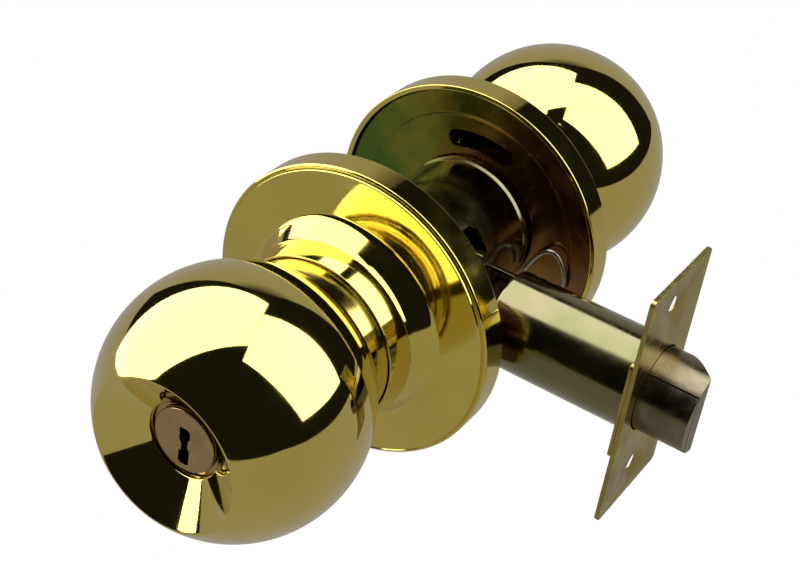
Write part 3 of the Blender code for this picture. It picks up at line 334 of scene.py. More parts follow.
def soften(corners: Sequence[Corner], closed: bool = True, steps: int = 5) -> list[Point]:
    """Rounds an outline's corners and adds points that keep its straight runs flat.

    Args:
        corners: The outline's corners in order.
        closed: Whether the last corner joins the first.
        steps: Segments in each rounded corner.

    Returns:
        The outline's points.
    """
    points: list[Point] = []
    count = len(corners)
    for index, (radius, level, bend) in enumerate(corners):
        if not bend or not (closed or 0 < index < count - 1):
            points.append((radius, level))
            continue
        here = Vector((radius, level))
        before, after = corners[index - 1], corners[(index + 1) % count]
        back, ahead = Vector(before[:2]) - here, Vector(after[:2]) - here
        cut = bend / max(math.tan(back.angle(ahead) / 2.0), LEAST_TANGENT)
        cut = min(cut, back.length * (SHARED_RUN if before[2] else WHOLE_RUN))
        cut = min(cut, ahead.length * (SHARED_RUN if after[2] else WHOLE_RUN))
        first = here + back.normalized() * cut
        last = here + ahead.normalized() * cut
        if back.length > cut + 4.0 * SUPPORT:
            points.append(tuple(first + back.normalized() * SUPPORT))
        for step in range(steps + 1):
            share = step / steps
            points.append(tuple(first.lerp(here, share).lerp(here.lerp(last, share), share)))
        if ahead.length > cut + 4.0 * SUPPORT:
            points.append(tuple(last + ahead.normalized() * SUPPORT))
    return points


def sleeve(outer: float, bore: float, low: float, high: float, rounds: Sequence[float]) -> list[Point]:
    """Gives a plain sleeve's outline.

    Args:
        outer: The outer radius.
        bore: The bore's radius.
        low: The lower end's level.
        high: The upper end's level.
        rounds: The rounds of the outer upper, outer lower, inner lower and inner upper corners.

    Returns:
        The outline's points.
    """
    return soften(list(zip((outer, outer, bore, bore), (high, low, low, high), rounds)))


def arc(radius: float, centre: float, first: float, last: float, steps: int) -> list[Corner]:
    """Gives an arc's corners round a point on the axis, between two angles in radians from the axis."""
    angles = [first + (last - first) * step / steps for step in range(steps + 1)]
    return [(radius * math.sin(a), centre + radius * math.cos(a), 0.0) for a in angles]


def make_object(name: str, data: Mesh | Curve) -> Object:
    """Links a mesh or curve to the scene as an object at the origin."""
    piece = bpy.data.objects.new(name, data)
    bpy.context.scene.collection.objects.link(piece)
    return piece


def from_work(name: str, work: bmesh.types.BMesh) -> Object:
    """Makes an object of a working mesh and frees it."""
    mesh = bpy.data.meshes.new(name)
    work.to_mesh(mesh)
    work.free()
    return make_object(name, mesh)


def shade(piece: Object, angle: float = SHARP_ANGLE) -> None:
    """Shades a piece smooth, with edges sharper than the angle kept."""
    piece.data.shade_smooth()
    piece.data.set_sharp_from_angle(angle=angle)


def close_up(piece: Object) -> Object:
    """Merges a piece's doubles, turns its faces outwards and shades it."""
    work = bmesh.new()
    work.from_mesh(piece.data)
    bmesh.ops.remove_doubles(work, verts=work.verts, dist=MERGE_GAP)
    bmesh.ops.dissolve_degenerate(work, edges=work.edges, dist=MERGE_GAP)
    bmesh.ops.recalc_face_normals(work, faces=work.faces)
    work.to_mesh(piece.data)
    work.free()
    shade(piece)
    return piece


def lathe(
    name: str,
    outline: Sequence[Point],
    axis: Axis,
    steps: int = FINE_STEPS,
    closed: bool = True,
    centre: Sequence[float] = (0.0, 0.0, 0.0),
) -> Object:
    """Turns an outline round an axis.

    Args:
        name: The piece's name.
        outline: Points of radius and level, in millimetres.
        axis: The axis to turn about.
        steps: Segments round the axis.
        closed: Whether the outline is closed; an open one ends on the axis.
        centre: Where the axis passes, in millimetres.

    Returns:
        The turned piece.
    """
    shift = Vector(centre) * MM
    count = len(outline)
    points, faces = [], []
    for step in range(steps):
        angle = FULL_TURN * step / steps
        points += [axis.place(radius, level, angle) + shift for radius, level in outline]
        here, there = step * count, (step + 1) % steps * count
        for index in range(count if closed else count - 1):
            after = (index + 1) % count
            faces.append((here + index, here + after, there + after, there + index))
    mesh = bpy.data.meshes.new(name)
    mesh.from_pydata(points, [], faces)
    return close_up(make_object(name, mesh))


def rod(
    name: str,
    radius: float,
    low: float,
    high: float,
    axis: Axis,
    steps: int = SMALL_STEPS,
    centre: Sequence[float] = (0.0, 0.0, 0.0),
) -> Object:
    """Turns a plain round bar between two levels, as a piece or as a tool that cuts a bore."""
    return lathe(name, [(0.0, low), (radius, low), (radius, high), (0.0, high)], axis, steps, False, centre)


def upright_rod(name: str, radius: float, start: float, end: float, level: float) -> Object:
    """Turns a round tool that points up from one height to another, at a place along Y."""
    tool = rod(name, radius, start, end, Axis.INSIDE, PIN_STEPS)
    tool.data.transform(Matrix.Translation((0.0, level * MM, 0.0)) @ Matrix.Rotation(QUARTER_TURN, 4, "X"))
    return tool


def block(name: str, low: Sequence[float], high: Sequence[float], edge: float = 0.0) -> Object:
    """Makes a box between two corners in millimetres, with its edges rounded where asked."""
    low_point, high_point = Vector(low) * MM, Vector(high) * MM
    work = bmesh.new()
    place = Matrix.LocRotScale((low_point + high_point) / 2.0, None, high_point - low_point)
    bmesh.ops.create_cube(work, size=1.0, matrix=place)
    if edge:
        bmesh.ops.bevel(work, geom=work.edges, offset=edge * MM, segments=4, profile=0.5, affect="EDGES")
    return from_work(name, work)


def prism(name: str, outline: Sequence[Point], axis: Axis, low: float, high: float) -> Object:
    """Extrudes a flat outline along an axis.

    Args:
        name: The piece's name.
        outline: Points across the axis, in millimetres: X and Z for a knob's axis, Y and Z for the latch's.
        axis: The axis to extrude along.
        low: The lower level.
        high: The upper level.

    Returns:
        The extruded piece.
    """
    work = bmesh.new()
    polar = [(math.hypot(across, up), math.atan2(up, across)) for across, up in outline]
    foot, head = ([work.verts.new(axis.place(r, level, a)) for r, a in polar] for level in (low, high))
    work.faces.new(foot)
    work.faces.new(head[::-1])
    for index in range(len(outline)):
        after = (index + 1) % len(outline)
        work.faces.new((foot[index], head[index], head[after], foot[after]))
    bmesh.ops.recalc_face_normals(work, faces=work.faces)
    return from_work(name, work)


def rounded_rectangle(half_width: float, half_height: float, corner: float, steps: int = 8) -> list[Point]:
    """Gives the outline of a rectangle with round corners."""
    points = []
    for quarter, (side_x, side_y) in enumerate(((1, 1), (-1, 1), (-1, -1), (1, -1))):
        x, y = side_x * (half_width - corner), side_y * (half_height - corner)
        for step in range(steps + 1):
            angle = QUARTER_TURN * (quarter + step / steps)
            points.append((x + corner * math.cos(angle), y + corner * math.sin(angle)))
    return points


def curved_slot(radius: float, width: float, sweep: float, middle: float, steps: int = 16) -> list[Point]:
    """Gives the outline of a slot that follows a circle and has round ends."""
    half = width / 2.0
    first, last = middle - sweep / 2.0, middle + sweep / 2.0
    points = []
    for edge, start, end, cap in ((half, first, last, last), (-half, last, first, first + math.pi)):
        for step in range(steps + 1):
            angle = start + (end - start) * step / steps
            points.append(((radius + edge) * math.cos(angle), (radius + edge) * math.sin(angle)))
        for step in range(1, 8):
            angle = cap + math.pi * step / 8.0
            x, y = radius * math.cos(end), radius * math.sin(end)
            points.append((x + half * math.cos(angle), y + half * math.sin(angle)))
    return points


def settle(piece: Object) -> Object:
    """Replaces a piece's mesh with what its modifiers make of it."""
    bpy.context.view_layer.update()
    seen = piece.evaluated_get(bpy.context.evaluated_depsgraph_get())
    mesh = bpy.data.meshes.new_from_object(seen)
    if piece.type == "MESH":
        piece.modifiers.clear()
        piece.data = mesh
        mesh.name = piece.name
        return piece
    name = piece.name
    bpy.data.objects.remove(piece, do_unlink=True)
    return make_object(name, mesh)


def combine(piece: Object, tools: Sequence[Object], operation: str) -> Object:
    """Cuts tools from a piece or joins them to it, and removes the tools."""
    for tool in tools:
        step = piece.modifiers.new(tool.name, "BOOLEAN")
        step.operation = operation
        step.solver = "EXACT"
        step.object = tool
    settle(piece)
    for tool in tools:
        bpy.data.objects.remove(tool, do_unlink=True)
    return close_up(piece)


def carve(piece: Object, *tools: Object) -> Object:
    """Cuts tools from a piece."""
    return combine(piece, tools, "DIFFERENCE")


def fuse(piece: Object, *tools: Object) -> Object:
    """Joins tools to a piece as one closed body."""
    return combine(piece, tools, "UNION")


def break_edges(piece: Object, width: float, segments: int = 2) -> Object:
    """Rounds a piece's sharp edges, with its flat faces kept flat."""
    bevel = piece.modifiers.new("Edges", "BEVEL")
    bevel.width = width * MM
    bevel.segments = segments
    bevel.limit_method = "ANGLE"
    bevel.angle_limit = BEVEL_ANGLE
    bevel.harden_normals = True
    bevel.use_clamp_overlap = True
    return settle(piece)


class MeshTree:
    """A Geometry Nodes tree with named inputs, run once on a piece."""

    NAME = ""
    INPUTS: tuple[tuple[str, str], ...] = ()

    def __init__(self) -> None:
        """Opens the tree with its inputs and its output."""
        self.tree = bpy.data.node_groups.new(self.NAME, "GeometryNodeTree")
        face = self.tree.interface
        self.sockets = [
            face.new_socket(name, in_out="INPUT", socket_type=f"NodeSocket{kind}").identifier
            for name, kind in self.INPUTS
        ]
        face.new_socket("Geometry", in_out="OUTPUT", socket_type="NodeSocketGeometry")
        self.given = self.tree.nodes.new("NodeGroupInput").outputs

    def add(self, kind: str, inputs: Inputs | None = None, **settings: object) -> Node:
        """Adds a node to the tree."""
        return add_node(self.tree, kind, inputs, **settings)

    def sum(self, operation: str, *values: object) -> Node:
        """Adds a sum to the tree."""
        return sum_node(self.tree, operation, *values)

    def run(self, piece: Object, values: Sequence[object]) -> None:
        """Runs the tree on a piece with values for its last inputs, and leaves a plain mesh."""
        step = piece.modifiers.new(self.NAME, "NODES")
        step.node_group = self.tree
        for socket, value in zip(self.sockets[-len(values) :], values):
            step[socket] = value
        settle(piece)


@dataclass(frozen=True)
class Coil:
    """A compression spring's turns, and its coil's and wire's radii in millimetres."""

    turns: float
    radius: float
    wire: float


class SpringTree(MeshTree):
    """Winds a compression spring with closed ends."""

    NAME = "wound_spring"
    INPUTS = (
        ("Turns", "Float"),
        ("Radius", "Float"),
        ("Wire Radius", "Float"),
        ("Length", "Float"),
        ("Place", "Vector"),
        ("Turn", "Vector"),
    )
    STEPS_PER_TURN = 28
    WIRE_STEPS = 10
    CLOSED_SHARE = 0.12
    CLOSED_RISE = 0.05

    def __init__(self, material: Material) -> None:
        """Builds the tree for one material."""
        super().__init__()
        given = self.given
        radius = given["Radius"]
        line = {"Resolution": self.STEPS_PER_TURN, "Rotations": given["Turns"], "Height": 0.0}
        spiral = self.add("GeometryNodeCurveSpiral", {**line, "Start Radius": radius, "End Radius": radius})
        lift = self.rise(given["Length"])
        risen = self.add("GeometryNodeSetPosition", {"Geometry": spiral, "Offset": lift})
        rim = {"Resolution": self.WIRE_STEPS, "Radius": given["Wire Radius"]}
        ring = self.add("GeometryNodeCurvePrimitiveCircle", rim)
        wire = self.add("GeometryNodeCurveToMesh", {"Curve": risen, "Profile Curve": ring, "Fill Caps": True})
        smooth = self.add("GeometryNodeSetShadeSmooth", {0: wire})
        place = {"Geometry": smooth, "Translation": given["Place"], "Rotation": given["Turn"]}
        placed = self.add("GeometryNodeTransform", place)
        real = self.add("GeometryNodeRealizeInstances", {"Geometry": placed})
        dressed = self.add("GeometryNodeSetMaterial", {"Geometry": real, "Material": material})
        self.add("NodeGroupOutput", {"Geometry": dressed})

    def rise(self, length: NodeSocket) -> Node:
        """Gives each point's height, slow at both ends so that the end turns lie closed."""
        eased = self.add("ShaderNodeFloatCurve", {"Value": self.add("GeometryNodeSplineParameter")})
        curve = eased.mapping.curves[0]
        curve.points.new(self.CLOSED_SHARE, self.CLOSED_RISE)
        curve.points.new(1.0 - self.CLOSED_SHARE, 1.0 - self.CLOSED_RISE)
        for point in curve.points:
            point.handle_type = "VECTOR"
        eased.mapping.update()
        return self.add("ShaderNodeCombineXYZ", {"Z": self.sum("MULTIPLY", eased, length)})

    def wind(self, node: str, coil: Coil, upright: bool) -> Object:
        """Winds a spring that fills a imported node's box.

        Args:
            node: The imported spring's node.
            coil: Its turns and radii.
            upright: Whether it stands along Z and not along X.

        Returns:
            The wound spring.
        """
        low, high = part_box(node)
        axis = 2 if upright else 0
        start = (low + high) / 2.0
        start[axis] = low[axis] + coil.wire * MM
        length = high[axis] - low[axis] - 2.0 * coil.wire * MM
        turn = Vector((0.0, 0.0 if upright else QUARTER_TURN, 0.0))
        name = f"{node}_wound"
        piece = make_object(name, bpy.data.meshes.new(name))
        self.run(piece, (coil.turns, coil.radius * MM, coil.wire * MM, length, start, turn))
        return close_up(piece)


class ThreadTree(MeshTree):
    """Cuts a screw thread into a turned piece on the knobs' axis."""

    NAME = "cut_thread"
    INPUTS = (
        ("Geometry", "Geometry"),
        ("Pitch", "Float"),
        ("Depth", "Float"),
        ("Crest", "Float"),
        ("Low", "Float"),
        ("High", "Float"),
    )

    def __init__(self) -> None:
        """Builds the tree."""
        super().__init__()
        pitch, low, high = (self.given[name] for name in ("Pitch", "Low", "High"))
        parts = self.add("ShaderNodeSeparateXYZ", {"Vector": self.add("GeometryNodeInputPosition")}).outputs
        radial = self.add("ShaderNodeCombineXYZ", {"X": parts["X"], "Z": parts["Z"]})
        radius = self.add("ShaderNodeVectorMath", {0: radial}, operation="LENGTH").outputs["Value"]
        turns = self.sum("DIVIDE", self.sum("ARCTAN2", parts["Z"], parts["X"]), FULL_TURN)
        phase = self.sum("ADD", self.sum("DIVIDE", parts["Y"], pitch), turns)
        wave = self.sum("PINGPONG", self.sum("MULTIPLY", phase, 2.0), 1.0)
        outer = self.sum("GREATER_THAN", radius, self.sum("SUBTRACT", self.given["Crest"], 0.1 * MM))
        run_in = range_node(self.tree, parts["Y"], (low, self.sum("ADD", low, pitch)))
        run_out = range_node(self.tree, parts["Y"], (high, self.sum("SUBTRACT", high, pitch)))
        ends = self.sum("MULTIPLY", run_in, run_out)
        amount = self.sum("MULTIPLY", self.sum("MULTIPLY", wave, outer), ends)
        inward = self.sum("MULTIPLY", self.sum("MULTIPLY", amount, self.given["Depth"]), -1.0)
        outward = self.add("ShaderNodeVectorMath", {0: radial}, operation="NORMALIZE")
        offset = self.add("ShaderNodeVectorMath", {0: outward, "Scale": inward}, operation="SCALE")
        cut = self.add("GeometryNodeSetPosition", {"Geometry": self.given["Geometry"], "Offset": offset})
        self.add("NodeGroupOutput", {"Geometry": cut})

    def cut(self, piece: Object, pitch: float, depth: float, crest: float, low: float, high: float) -> Object:
        """Cuts the thread between two places along Y, in millimetres."""
        self.run(piece, [value * MM for value in (pitch, depth, crest, low, high)])
        shade(piece, THREAD_ANGLE)
        return piece


@dataclass
class Bench:
    """Where pieces are finished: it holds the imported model, the finishes and the node trees."""

    frame: dict
    finishes: dict[str, Material] = field(default_factory=dict)
    fitted: int = 0

    def __post_init__(self) -> None:
        """Builds the node trees."""
        self.springs = SpringTree(self.material(DRAWN_WIRE))
        self.thread = ThreadTree()

    def material(self, finish: MetalFinish) -> Material:
        """Gives a finish's material, built once."""
        if finish.name not in self.finishes:
            self.finishes[finish.name] = finish.build()
        return self.finishes[finish.name]

    def coat(self, piece: Object, finish: MetalFinish) -> None:
        """Gives a piece one finish all over."""
        piece.data.materials.clear()
        piece.data.materials.append(self.material(finish))

    def fit(self, piece: Object, finish: MetalFinish, node: str) -> None:
        """Dresses a finished piece and lets it stand for its node.

        Args:
            piece: The finished piece.
            finish: Its surface.
            node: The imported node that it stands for.
        """
        self.coat(piece, finish)
        for polygon in piece.data.polygons:
            polygon.material_index = 0
        bodies = self.frame["record"]["behaviour"]["bodies"]
        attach(piece, next(body for body, nodes in bodies.items() if node in nodes))
        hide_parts(node)
        self.fitted += 1
        LOG.info("%s: %d faces, in %s", piece.name, len(piece.data.polygons), finish.name)

    def dress(self, node: str, finish: MetalFinish) -> None:
        """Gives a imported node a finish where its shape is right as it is."""
        self.coat(self.frame["nodes"][node], finish)
        LOG.info("%s: dressed in %s", node, finish.name)

    def refine(self, node: str, finish: MetalFinish, edge: float) -> None:
        """Copies a flat-sided node, breaks its edges and lets the copy stand for it."""
        mesh = self.frame["nodes"][node].data.copy()
        piece = make_object(f"{node}_finished", mesh)
        work = bmesh.new()
        work.from_mesh(mesh)
        bmesh.ops.remove_doubles(work, verts=work.verts, dist=COPY_GAP)
        flat = {"verts": work.verts, "edges": work.edges, "delimit": {"NORMAL"}}
        bmesh.ops.dissolve_limit(work, angle_limit=FLAT_ANGLE, **flat)
        work.to_mesh(mesh)
        work.free()
        shade(piece)
        self.fit(break_edges(piece, edge), finish, node)

    def fit_spring(self, node: str, coil: Coil, joint: str = "", upright: bool = False) -> None:
        """Winds a spring for a node. With a joint, it gets a mesh of its own."""
        spring = self.springs.wind(node, coil, upright)
        self.fit(spring, DRAWN_WIRE, node)
        if joint:
            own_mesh(spring)


@dataclass
class BallKnob:
    """A knob: its pressed ball with a dished face, and the neck that carries it."""

    name: str
    axis: Axis
    dish_rim: float = 16.6
    dish_floor: float = 8.2
    dish_depth: float = 6.3
    wall: float = 1.2
    rim_round: float = 0.45
    rim_trim: float = 0.8
    back_radius: float = 21.3
    lip: float = 0.8
    neck_radius: float = 18.6
    web: float = 1.4
    seat_depth: float = 2.8
    collar_bore: float = 12.2
    collar_height: float = 6.0
    peg_radius: float = 1.7
    peg_setback: float = 14.2

    def __post_init__(self) -> None:
        """Reads the ball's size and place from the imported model."""
        low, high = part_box(f"{self.name}_knob_shell")
        self.radius = (high.x - low.x) / 2.0 / MM
        self.rim_level = self.axis.span(f"{self.name}_knob_shell")[1]
        self.centre = self.rim_level - math.sqrt(self.radius**2 - self.dish_rim**2)
        self.back_level = self.centre - math.sqrt(self.radius**2 - self.back_radius**2)
        self.foot = self.back_level - self.lip

    def shell(self) -> Object:
        """Presses the ball's shell, with its dish and its rolled back edge."""
        wall, rim, back, floor = self.wall, self.dish_rim, self.back_radius, self.dish_floor
        inner = self.radius - wall
        trim = self.rim_trim / self.radius
        bore = back - wall
        floor_level = self.rim_level - self.dish_depth
        slope = self.dish_depth / (rim - floor)
        under = rim - wall
        drop = wall * math.hypot(1.0, slope)
        front_angle = math.asin(rim / self.radius) + trim
        back_angle = math.pi - math.asin(back / self.radius) - trim
        inner_back = math.pi - math.asin((bore + wall / 2.0) / inner)
        inner_front = math.asin((rim + wall / 2.0) / inner)
        corners = [
            (rim, self.rim_level, self.rim_round),
            *arc(self.radius, self.centre, front_angle, back_angle, 96),
            (back + 0.05, self.back_level, 0.5),
            (back - wall / 2.0, self.foot, 0.3),
            (bore, self.foot, 0.2),
            *arc(inner, self.centre, inner_back, inner_front, 32),
            (under, floor_level + slope * (under - floor) - drop, 0.0),
            (floor + wall, floor_level - 1.0, 0.0),
            (floor, floor_level - 1.0, 0.15),
            (floor, floor_level, 0.35),
        ]
        return lathe(f"{self.name}_ball", soften(corners), self.axis, BALL_STEPS)

    def neck(self) -> Object:
        """Turns the neck, with its flare under the ball and the collar over the spindle."""
        start, top = self.axis.span(f"{self.name}_knob_neck")
        seat = self.back_radius - self.wall - CLEAR
        web = top - self.seat_depth
        bore = self.neck_radius - self.wall
        collar = self.collar_bore + self.web
        collar_top = web + self.collar_height
        corners = [
            (seat, web + self.seat_depth, 0.0),
            (seat, self.foot, 0.3),
            (self.neck_radius, self.foot - (seat - self.neck_radius) / 2.0, 1.2),
            (self.neck_radius, start, 0.3),
            (bore, start, 0.3),
            (bore, web, 1.0),
            (self.collar_bore, web, 0.4),
            (self.collar_bore, collar_top, 0.2),
            (collar, collar_top, 0.2),
            (collar, web + self.web, 0.4),
            (seat - self.web, web + self.web, 0.3),
            (seat - self.web, web + self.seat_depth, 0.0),
        ]
        neck = lathe(f"{self.name}_neck", soften(corners), self.axis)
        level = self.axis.side * (self.centre - self.peg_setback)
        return carve(neck, upright_rod("peg_hole", self.peg_radius, -5.0, -16.0, level))

    def build(self, bench: Bench) -> None:
        """Builds and dresses the ball and the neck."""
        bench.fit(self.shell(), MIRROR_BRASS, f"{self.name}_knob_shell")
        bench.fit(self.neck(), SPUN_BRASS, f"{self.name}_knob_neck")


@dataclass
class Rose:
    """A rose: its flared brass cover and the plated plate inside it. Rises are from the door's face."""

    name: str
    axis: Axis
    radius: float = 34.1
    skirt: float = 33.75
    bead_radius: float = 33.3
    bead_rise: float = 6.55
    groove: float = 32.85
    groove_rise: float = 6.25
    rim: float = 32.5
    rim_rise: float = 7.0
    height: float = 19.1
    hub_bore: float = 18.8
    hub_edge: float = 19.2
    waist: float = 19.9
    waist_rise: float = 12.8
    foot: float = 22.9
    foot_rise: float = 8.3
    wall: float = 1.2
    web_edge: float = 26.1
    web_step: float = 0.9
    plate_rise: float = 1.1
    slot_radius: float = 20.5
    slot_width: float = 4.2
    slot_sweep: float = math.radians(36.0)
    boss_radius: float = 3.0
    boss_bore: float = 1.6

    def __post_init__(self) -> None:
        """Reads the door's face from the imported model."""
        self.face = self.axis.span(f"{self.name}_rose")[0]

    def cover(self) -> Object:
        """Spins the cover: a trumpet flare from its hub, a fine bead and an upright skirt to the door."""
        wall = self.wall
        rises = [
            (self.hub_edge, self.height, 0.15),
            (self.waist, self.waist_rise, 3.0),
            (self.foot, self.foot_rise, 2.2),
            (self.rim + 0.1, self.rim_rise, 0.3),
            (self.groove, self.groove_rise, 0.12),
            (self.bead_radius, self.bead_rise, 0.25),
            (self.skirt, self.groove_rise - 0.05, 0.3),
            (self.skirt, 0.0, 0.3),
            (self.skirt - wall, 0.0, 0.4),
            (self.skirt - wall, self.groove_rise - wall - 0.05, 0.6),
            (self.rim - wall / 2.0, self.rim_rise - wall, 0.5),
            (self.foot - wall / 2.0, self.foot_rise - wall, 1.5),
            (self.hub_bore, self.waist_rise - wall, 0.5),
            (self.hub_bore, self.height, 0.15),
        ]
        corners = [(radius, self.face + rise, bend) for radius, rise, bend in rises]
        return lathe(f"{self.name}_rose_cover", soften(corners, steps=12), self.axis, BALL_STEPS)

    def plate(self) -> Object:
        """Presses the plate: a raised rim and a sunk web with round screw slots or bored bosses."""
        wall = self.wall
        rim = self.face + self.plate_rise
        web = rim + self.web_step
        outer = (self.radius + self.bead_radius) / 2.0 - wall - CLEAR
        bore = HUB_RADIUS + CLEAR
        step = self.web_edge + self.web_step
        corners = [
            (outer, rim + wall, 0.3),
            (outer, rim, 0.3),
            (step, rim, 0.5),
            (self.web_edge, web, 0.5),
            (bore, web, 0.25),
            (bore, web + wall, 0.25),
            (self.web_edge, web + wall, 0.5),
            (step, rim + wall, 0.5),
        ]
        plate = lathe(f"{self.name}_plate", soften(corners), self.axis)
        if self.axis is Axis.INSIDE:
            tools = []
            for side in (1.0, -1.0):
                outline = curved_slot(self.slot_radius, self.slot_width, self.slot_sweep, side * QUARTER_TURN)
                tools.append(prism(f"slot_{side:+.0f}", outline, self.axis, rim - 1.0, web + 3.0))
            return carve(plate, *tools)
        tip = self.axis.span("outside_rose_plate")[1]
        outline = sleeve(self.boss_radius, self.boss_bore, tip, web + 0.6, (0.0, 0.3, 0.2, 0.0))
        bosses, holes = [], []
        for side in (1.0, -1.0):
            centre = (0.0, 0.0, side * self.slot_radius)
            bosses.append(lathe(f"boss_{side:+.0f}", outline, self.axis, SMALL_STEPS, centre=centre))
            hole = rod(f"bore_{side:+.0f}", self.boss_bore, rim - 1.0, tip + 1.0, self.axis, centre=centre)
            holes.append(hole)
        return carve(fuse(plate, *bosses), *holes)

    def build(self, bench: Bench) -> None:
        """Builds and dresses the cover and the plate."""
        bench.fit(self.cover(), SPUN_BRASS, f"{self.name}_rose")
        bench.fit(self.plate(), CHROMATE, f"{self.name}_rose_plate")


@dataclass
class Spindle:
    """A knob's tube spindle with its two ears, and the leaf that catches the knob's collar."""

    name: str
    axis: Axis
    radius: float = 11.9
    wall: float = 1.7
    ear_reach: float = 1.9
    ear_low: float = 4.6
    ear_high: float = 8.9

    def tube(self) -> Object:
        """Draws the tube and cuts its two ears."""
        low, high = self.axis.span(f"{self.name}_spindle")
        outline = sleeve(self.radius, self.radius - self.wall, low, high, (0.3, 0.3, 0.2, 0.2))
        tube = lathe(f"{self.name}_spindle_tube", outline, self.axis, ROUND_STEPS)
        reach = 2.0 * self.radius
        near, far = sorted((self.axis.side * (low - 1.0), self.axis.side * (low + self.ear_reach)))
        behind = block("relief_back", (-reach, near, -reach), (self.ear_low, far, reach))
        ahead = block("relief_front", (self.ear_high, near, -reach), (reach, far, reach))
        return carve(tube, behind, ahead)

    def build(self, bench: Bench) -> None:
        """Builds and dresses the spindle and its catch."""
        bench.fit(self.tube(), CHROMATE, f"{self.name}_spindle")
        bench.dress(f"{self.name}_knob_catch", DRAWN_WIRE)


@dataclass
class Chassis:
    """The works between the roses: drum, hubs, nut, retractor, its springs and the wire clip."""

    drum_radius: float = 16.0
    drum_wall: float = 1.2
    bead: float = 0.4
    bead_width: float = 0.8
    window_width: float = 17.0
    window_height: float = 25.0
    window_round: float = 1.6
    hub_bore: float = 12.2
    shoulder: float = 2.5
    pitch: float = 1.27
    thread_depth: float = 0.45
    thread_rows: float = 8.0
    thread_margin: float = 0.7
    thread_start: float = 0.8
    thread_stop: float = 0.4
    nut_notches: int = 12
    notch_depth: float = 0.6
    notch_half: float = 0.8
    wire: float = 0.6
    clip_rise: float = 3.0
    clip_bends: tuple[Point, ...] = (
        (0.0, -1.5), (0.12, -0.5), (0.30, 0.6), (0.52, 1.1),
        (0.72, 0.9), (0.88, 0.2), (1.0, -0.8), (0.97, -1.7),
    )  # fmt: skip
    spring: Coil = Coil(turns=9.0, radius=2.4, wire=0.4)

    def drum(self) -> Object:
        """Draws the drum, beads its inside end and opens its two windows."""
        low, high = Axis.INSIDE.span("chassis_drum")
        bore = self.drum_radius - self.drum_wall
        corners = [
            (self.drum_radius + self.bead, high, 0.2),
            (self.drum_radius + self.bead, high - self.bead_width, 0.2),
            (self.drum_radius, high - 2.0 * self.bead_width, 0.3),
            (self.drum_radius, low, 0.4),
            (bore, low, 0.2),
            (bore, high, 0.2),
        ]
        drum = lathe("drum", soften(corners), Axis.INSIDE)
        reach = 2.0 * self.drum_radius
        outline = rounded_rectangle(self.window_width / 2.0, self.window_height / 2.0, self.window_round)
        return carve(drum, prism("windows", outline, Axis.LATCH, -reach, reach))

    def hub(self, bench: Bench, name: str, axis: Axis) -> None:
        """Turns one hub, gives its outside rows of points for the thread and cuts it."""
        low, high = axis.span(f"{name}_hub")
        spigot = self.drum_radius - self.drum_wall - CLEAR
        shoulder = low + self.shoulder
        corners = [
            (HUB_RADIUS, high, 0.5),
            (HUB_RADIUS, shoulder, 0.2),
            (spigot, shoulder, 0.1),
            (spigot, low, 0.3),
            (self.hub_bore, low, 0.3),
            (self.hub_bore, high, 0.4),
        ]
        outline = soften(corners)
        start = high - self.thread_margin
        length = high - shoulder - 2.0 * self.thread_margin
        rows = int(length / self.pitch * self.thread_rows)
        run = [(HUB_RADIUS, start - length * row / rows) for row in range(rows + 1)]
        last = max(index for index, point in enumerate(outline[:9]) if point[1] > start)
        outline = outline[: last + 1] + run + outline[last + 2 :]
        hub = lathe(f"{name}_threaded_hub", outline, axis, ROUND_STEPS)
        ends = sorted((axis.side * (shoulder + self.thread_start), axis.side * (high - self.thread_stop)))
        bench.thread.cut(hub, self.pitch, self.thread_depth, HUB_RADIUS, *ends)
        bench.fit(hub, CHROMATE, f"{name}_hub")

    def nut(self) -> Object:
        """Turns the ring nut and mills its notches for a spanner."""
        low, high = Axis.OUTSIDE.span("adjusting_nut")
        box_low, box_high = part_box("adjusting_nut")
        outer = (box_high.x - box_low.x) / 2.0 / MM
        outline = sleeve(outer, HUB_RADIUS + CLEAR, low, high, (0.3, 0.3, 0.2, 0.2))
        nut = lathe("ring_nut", outline, Axis.OUTSIDE)
        notches = []
        foot, half = outer - self.notch_depth, self.notch_half
        for index in range(self.nut_notches):
            notch = block(f"notch_{index}", (foot, -high - 1.0, -half), (outer + 1.0, -high + 1.4, half))
            notch.data.transform(Matrix.Rotation(FULL_TURN * index / self.nut_notches, 4, "Y"))
            notches.append(notch)
        return carve(nut, *notches)

    def clip(self) -> Object:
        """Bends the bright wire clip beside the drum."""
        low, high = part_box("rose_clip")
        wire = self.wire * MM
        near, far = low.x + wire, high.x - wire
        level = (low.y + high.y) / 2.0
        curve = bpy.data.curves.new("wire_clip", "CURVE")
        curve.dimensions = "3D"
        curve.bevel_depth = wire
        curve.bevel_resolution = 5
        curve.use_fill_caps = True
        curve.resolution_u = 10
        spline = curve.splines.new("NURBS")
        spline.points.add(len(self.clip_bends) - 1)
        for point, (across, up) in zip(spline.points, self.clip_bends):
            point.co = (near + (far - near) * across, level, self.clip_rise * MM * up, 1.0)
        spline.use_endpoint_u = True
        spline.order_u = 4
        return close_up(settle(make_object("wire_clip", curve)))

    def build(self, bench: Bench) -> None:
        """Builds and dresses everything between the roses."""
        bench.fit(self.drum(), YELLOW_ZINC, "chassis_drum")
        self.hub(bench, "outside", Axis.OUTSIDE)
        self.hub(bench, "inside", Axis.INSIDE)
        bench.fit(self.nut(), CHROMATE, "adjusting_nut")
        bench.fit(self.clip(), DRAWN_WIRE, "rose_clip")
        bench.refine("retractor", YELLOW_ZINC, 0.25)
        bench.refine("retractor_spring_seat", YELLOW_ZINC, 0.2)
        for place in ("upper", "lower"):
            bench.fit_spring(f"retractor_spring_{place}", self.spring, "retractor_slide")


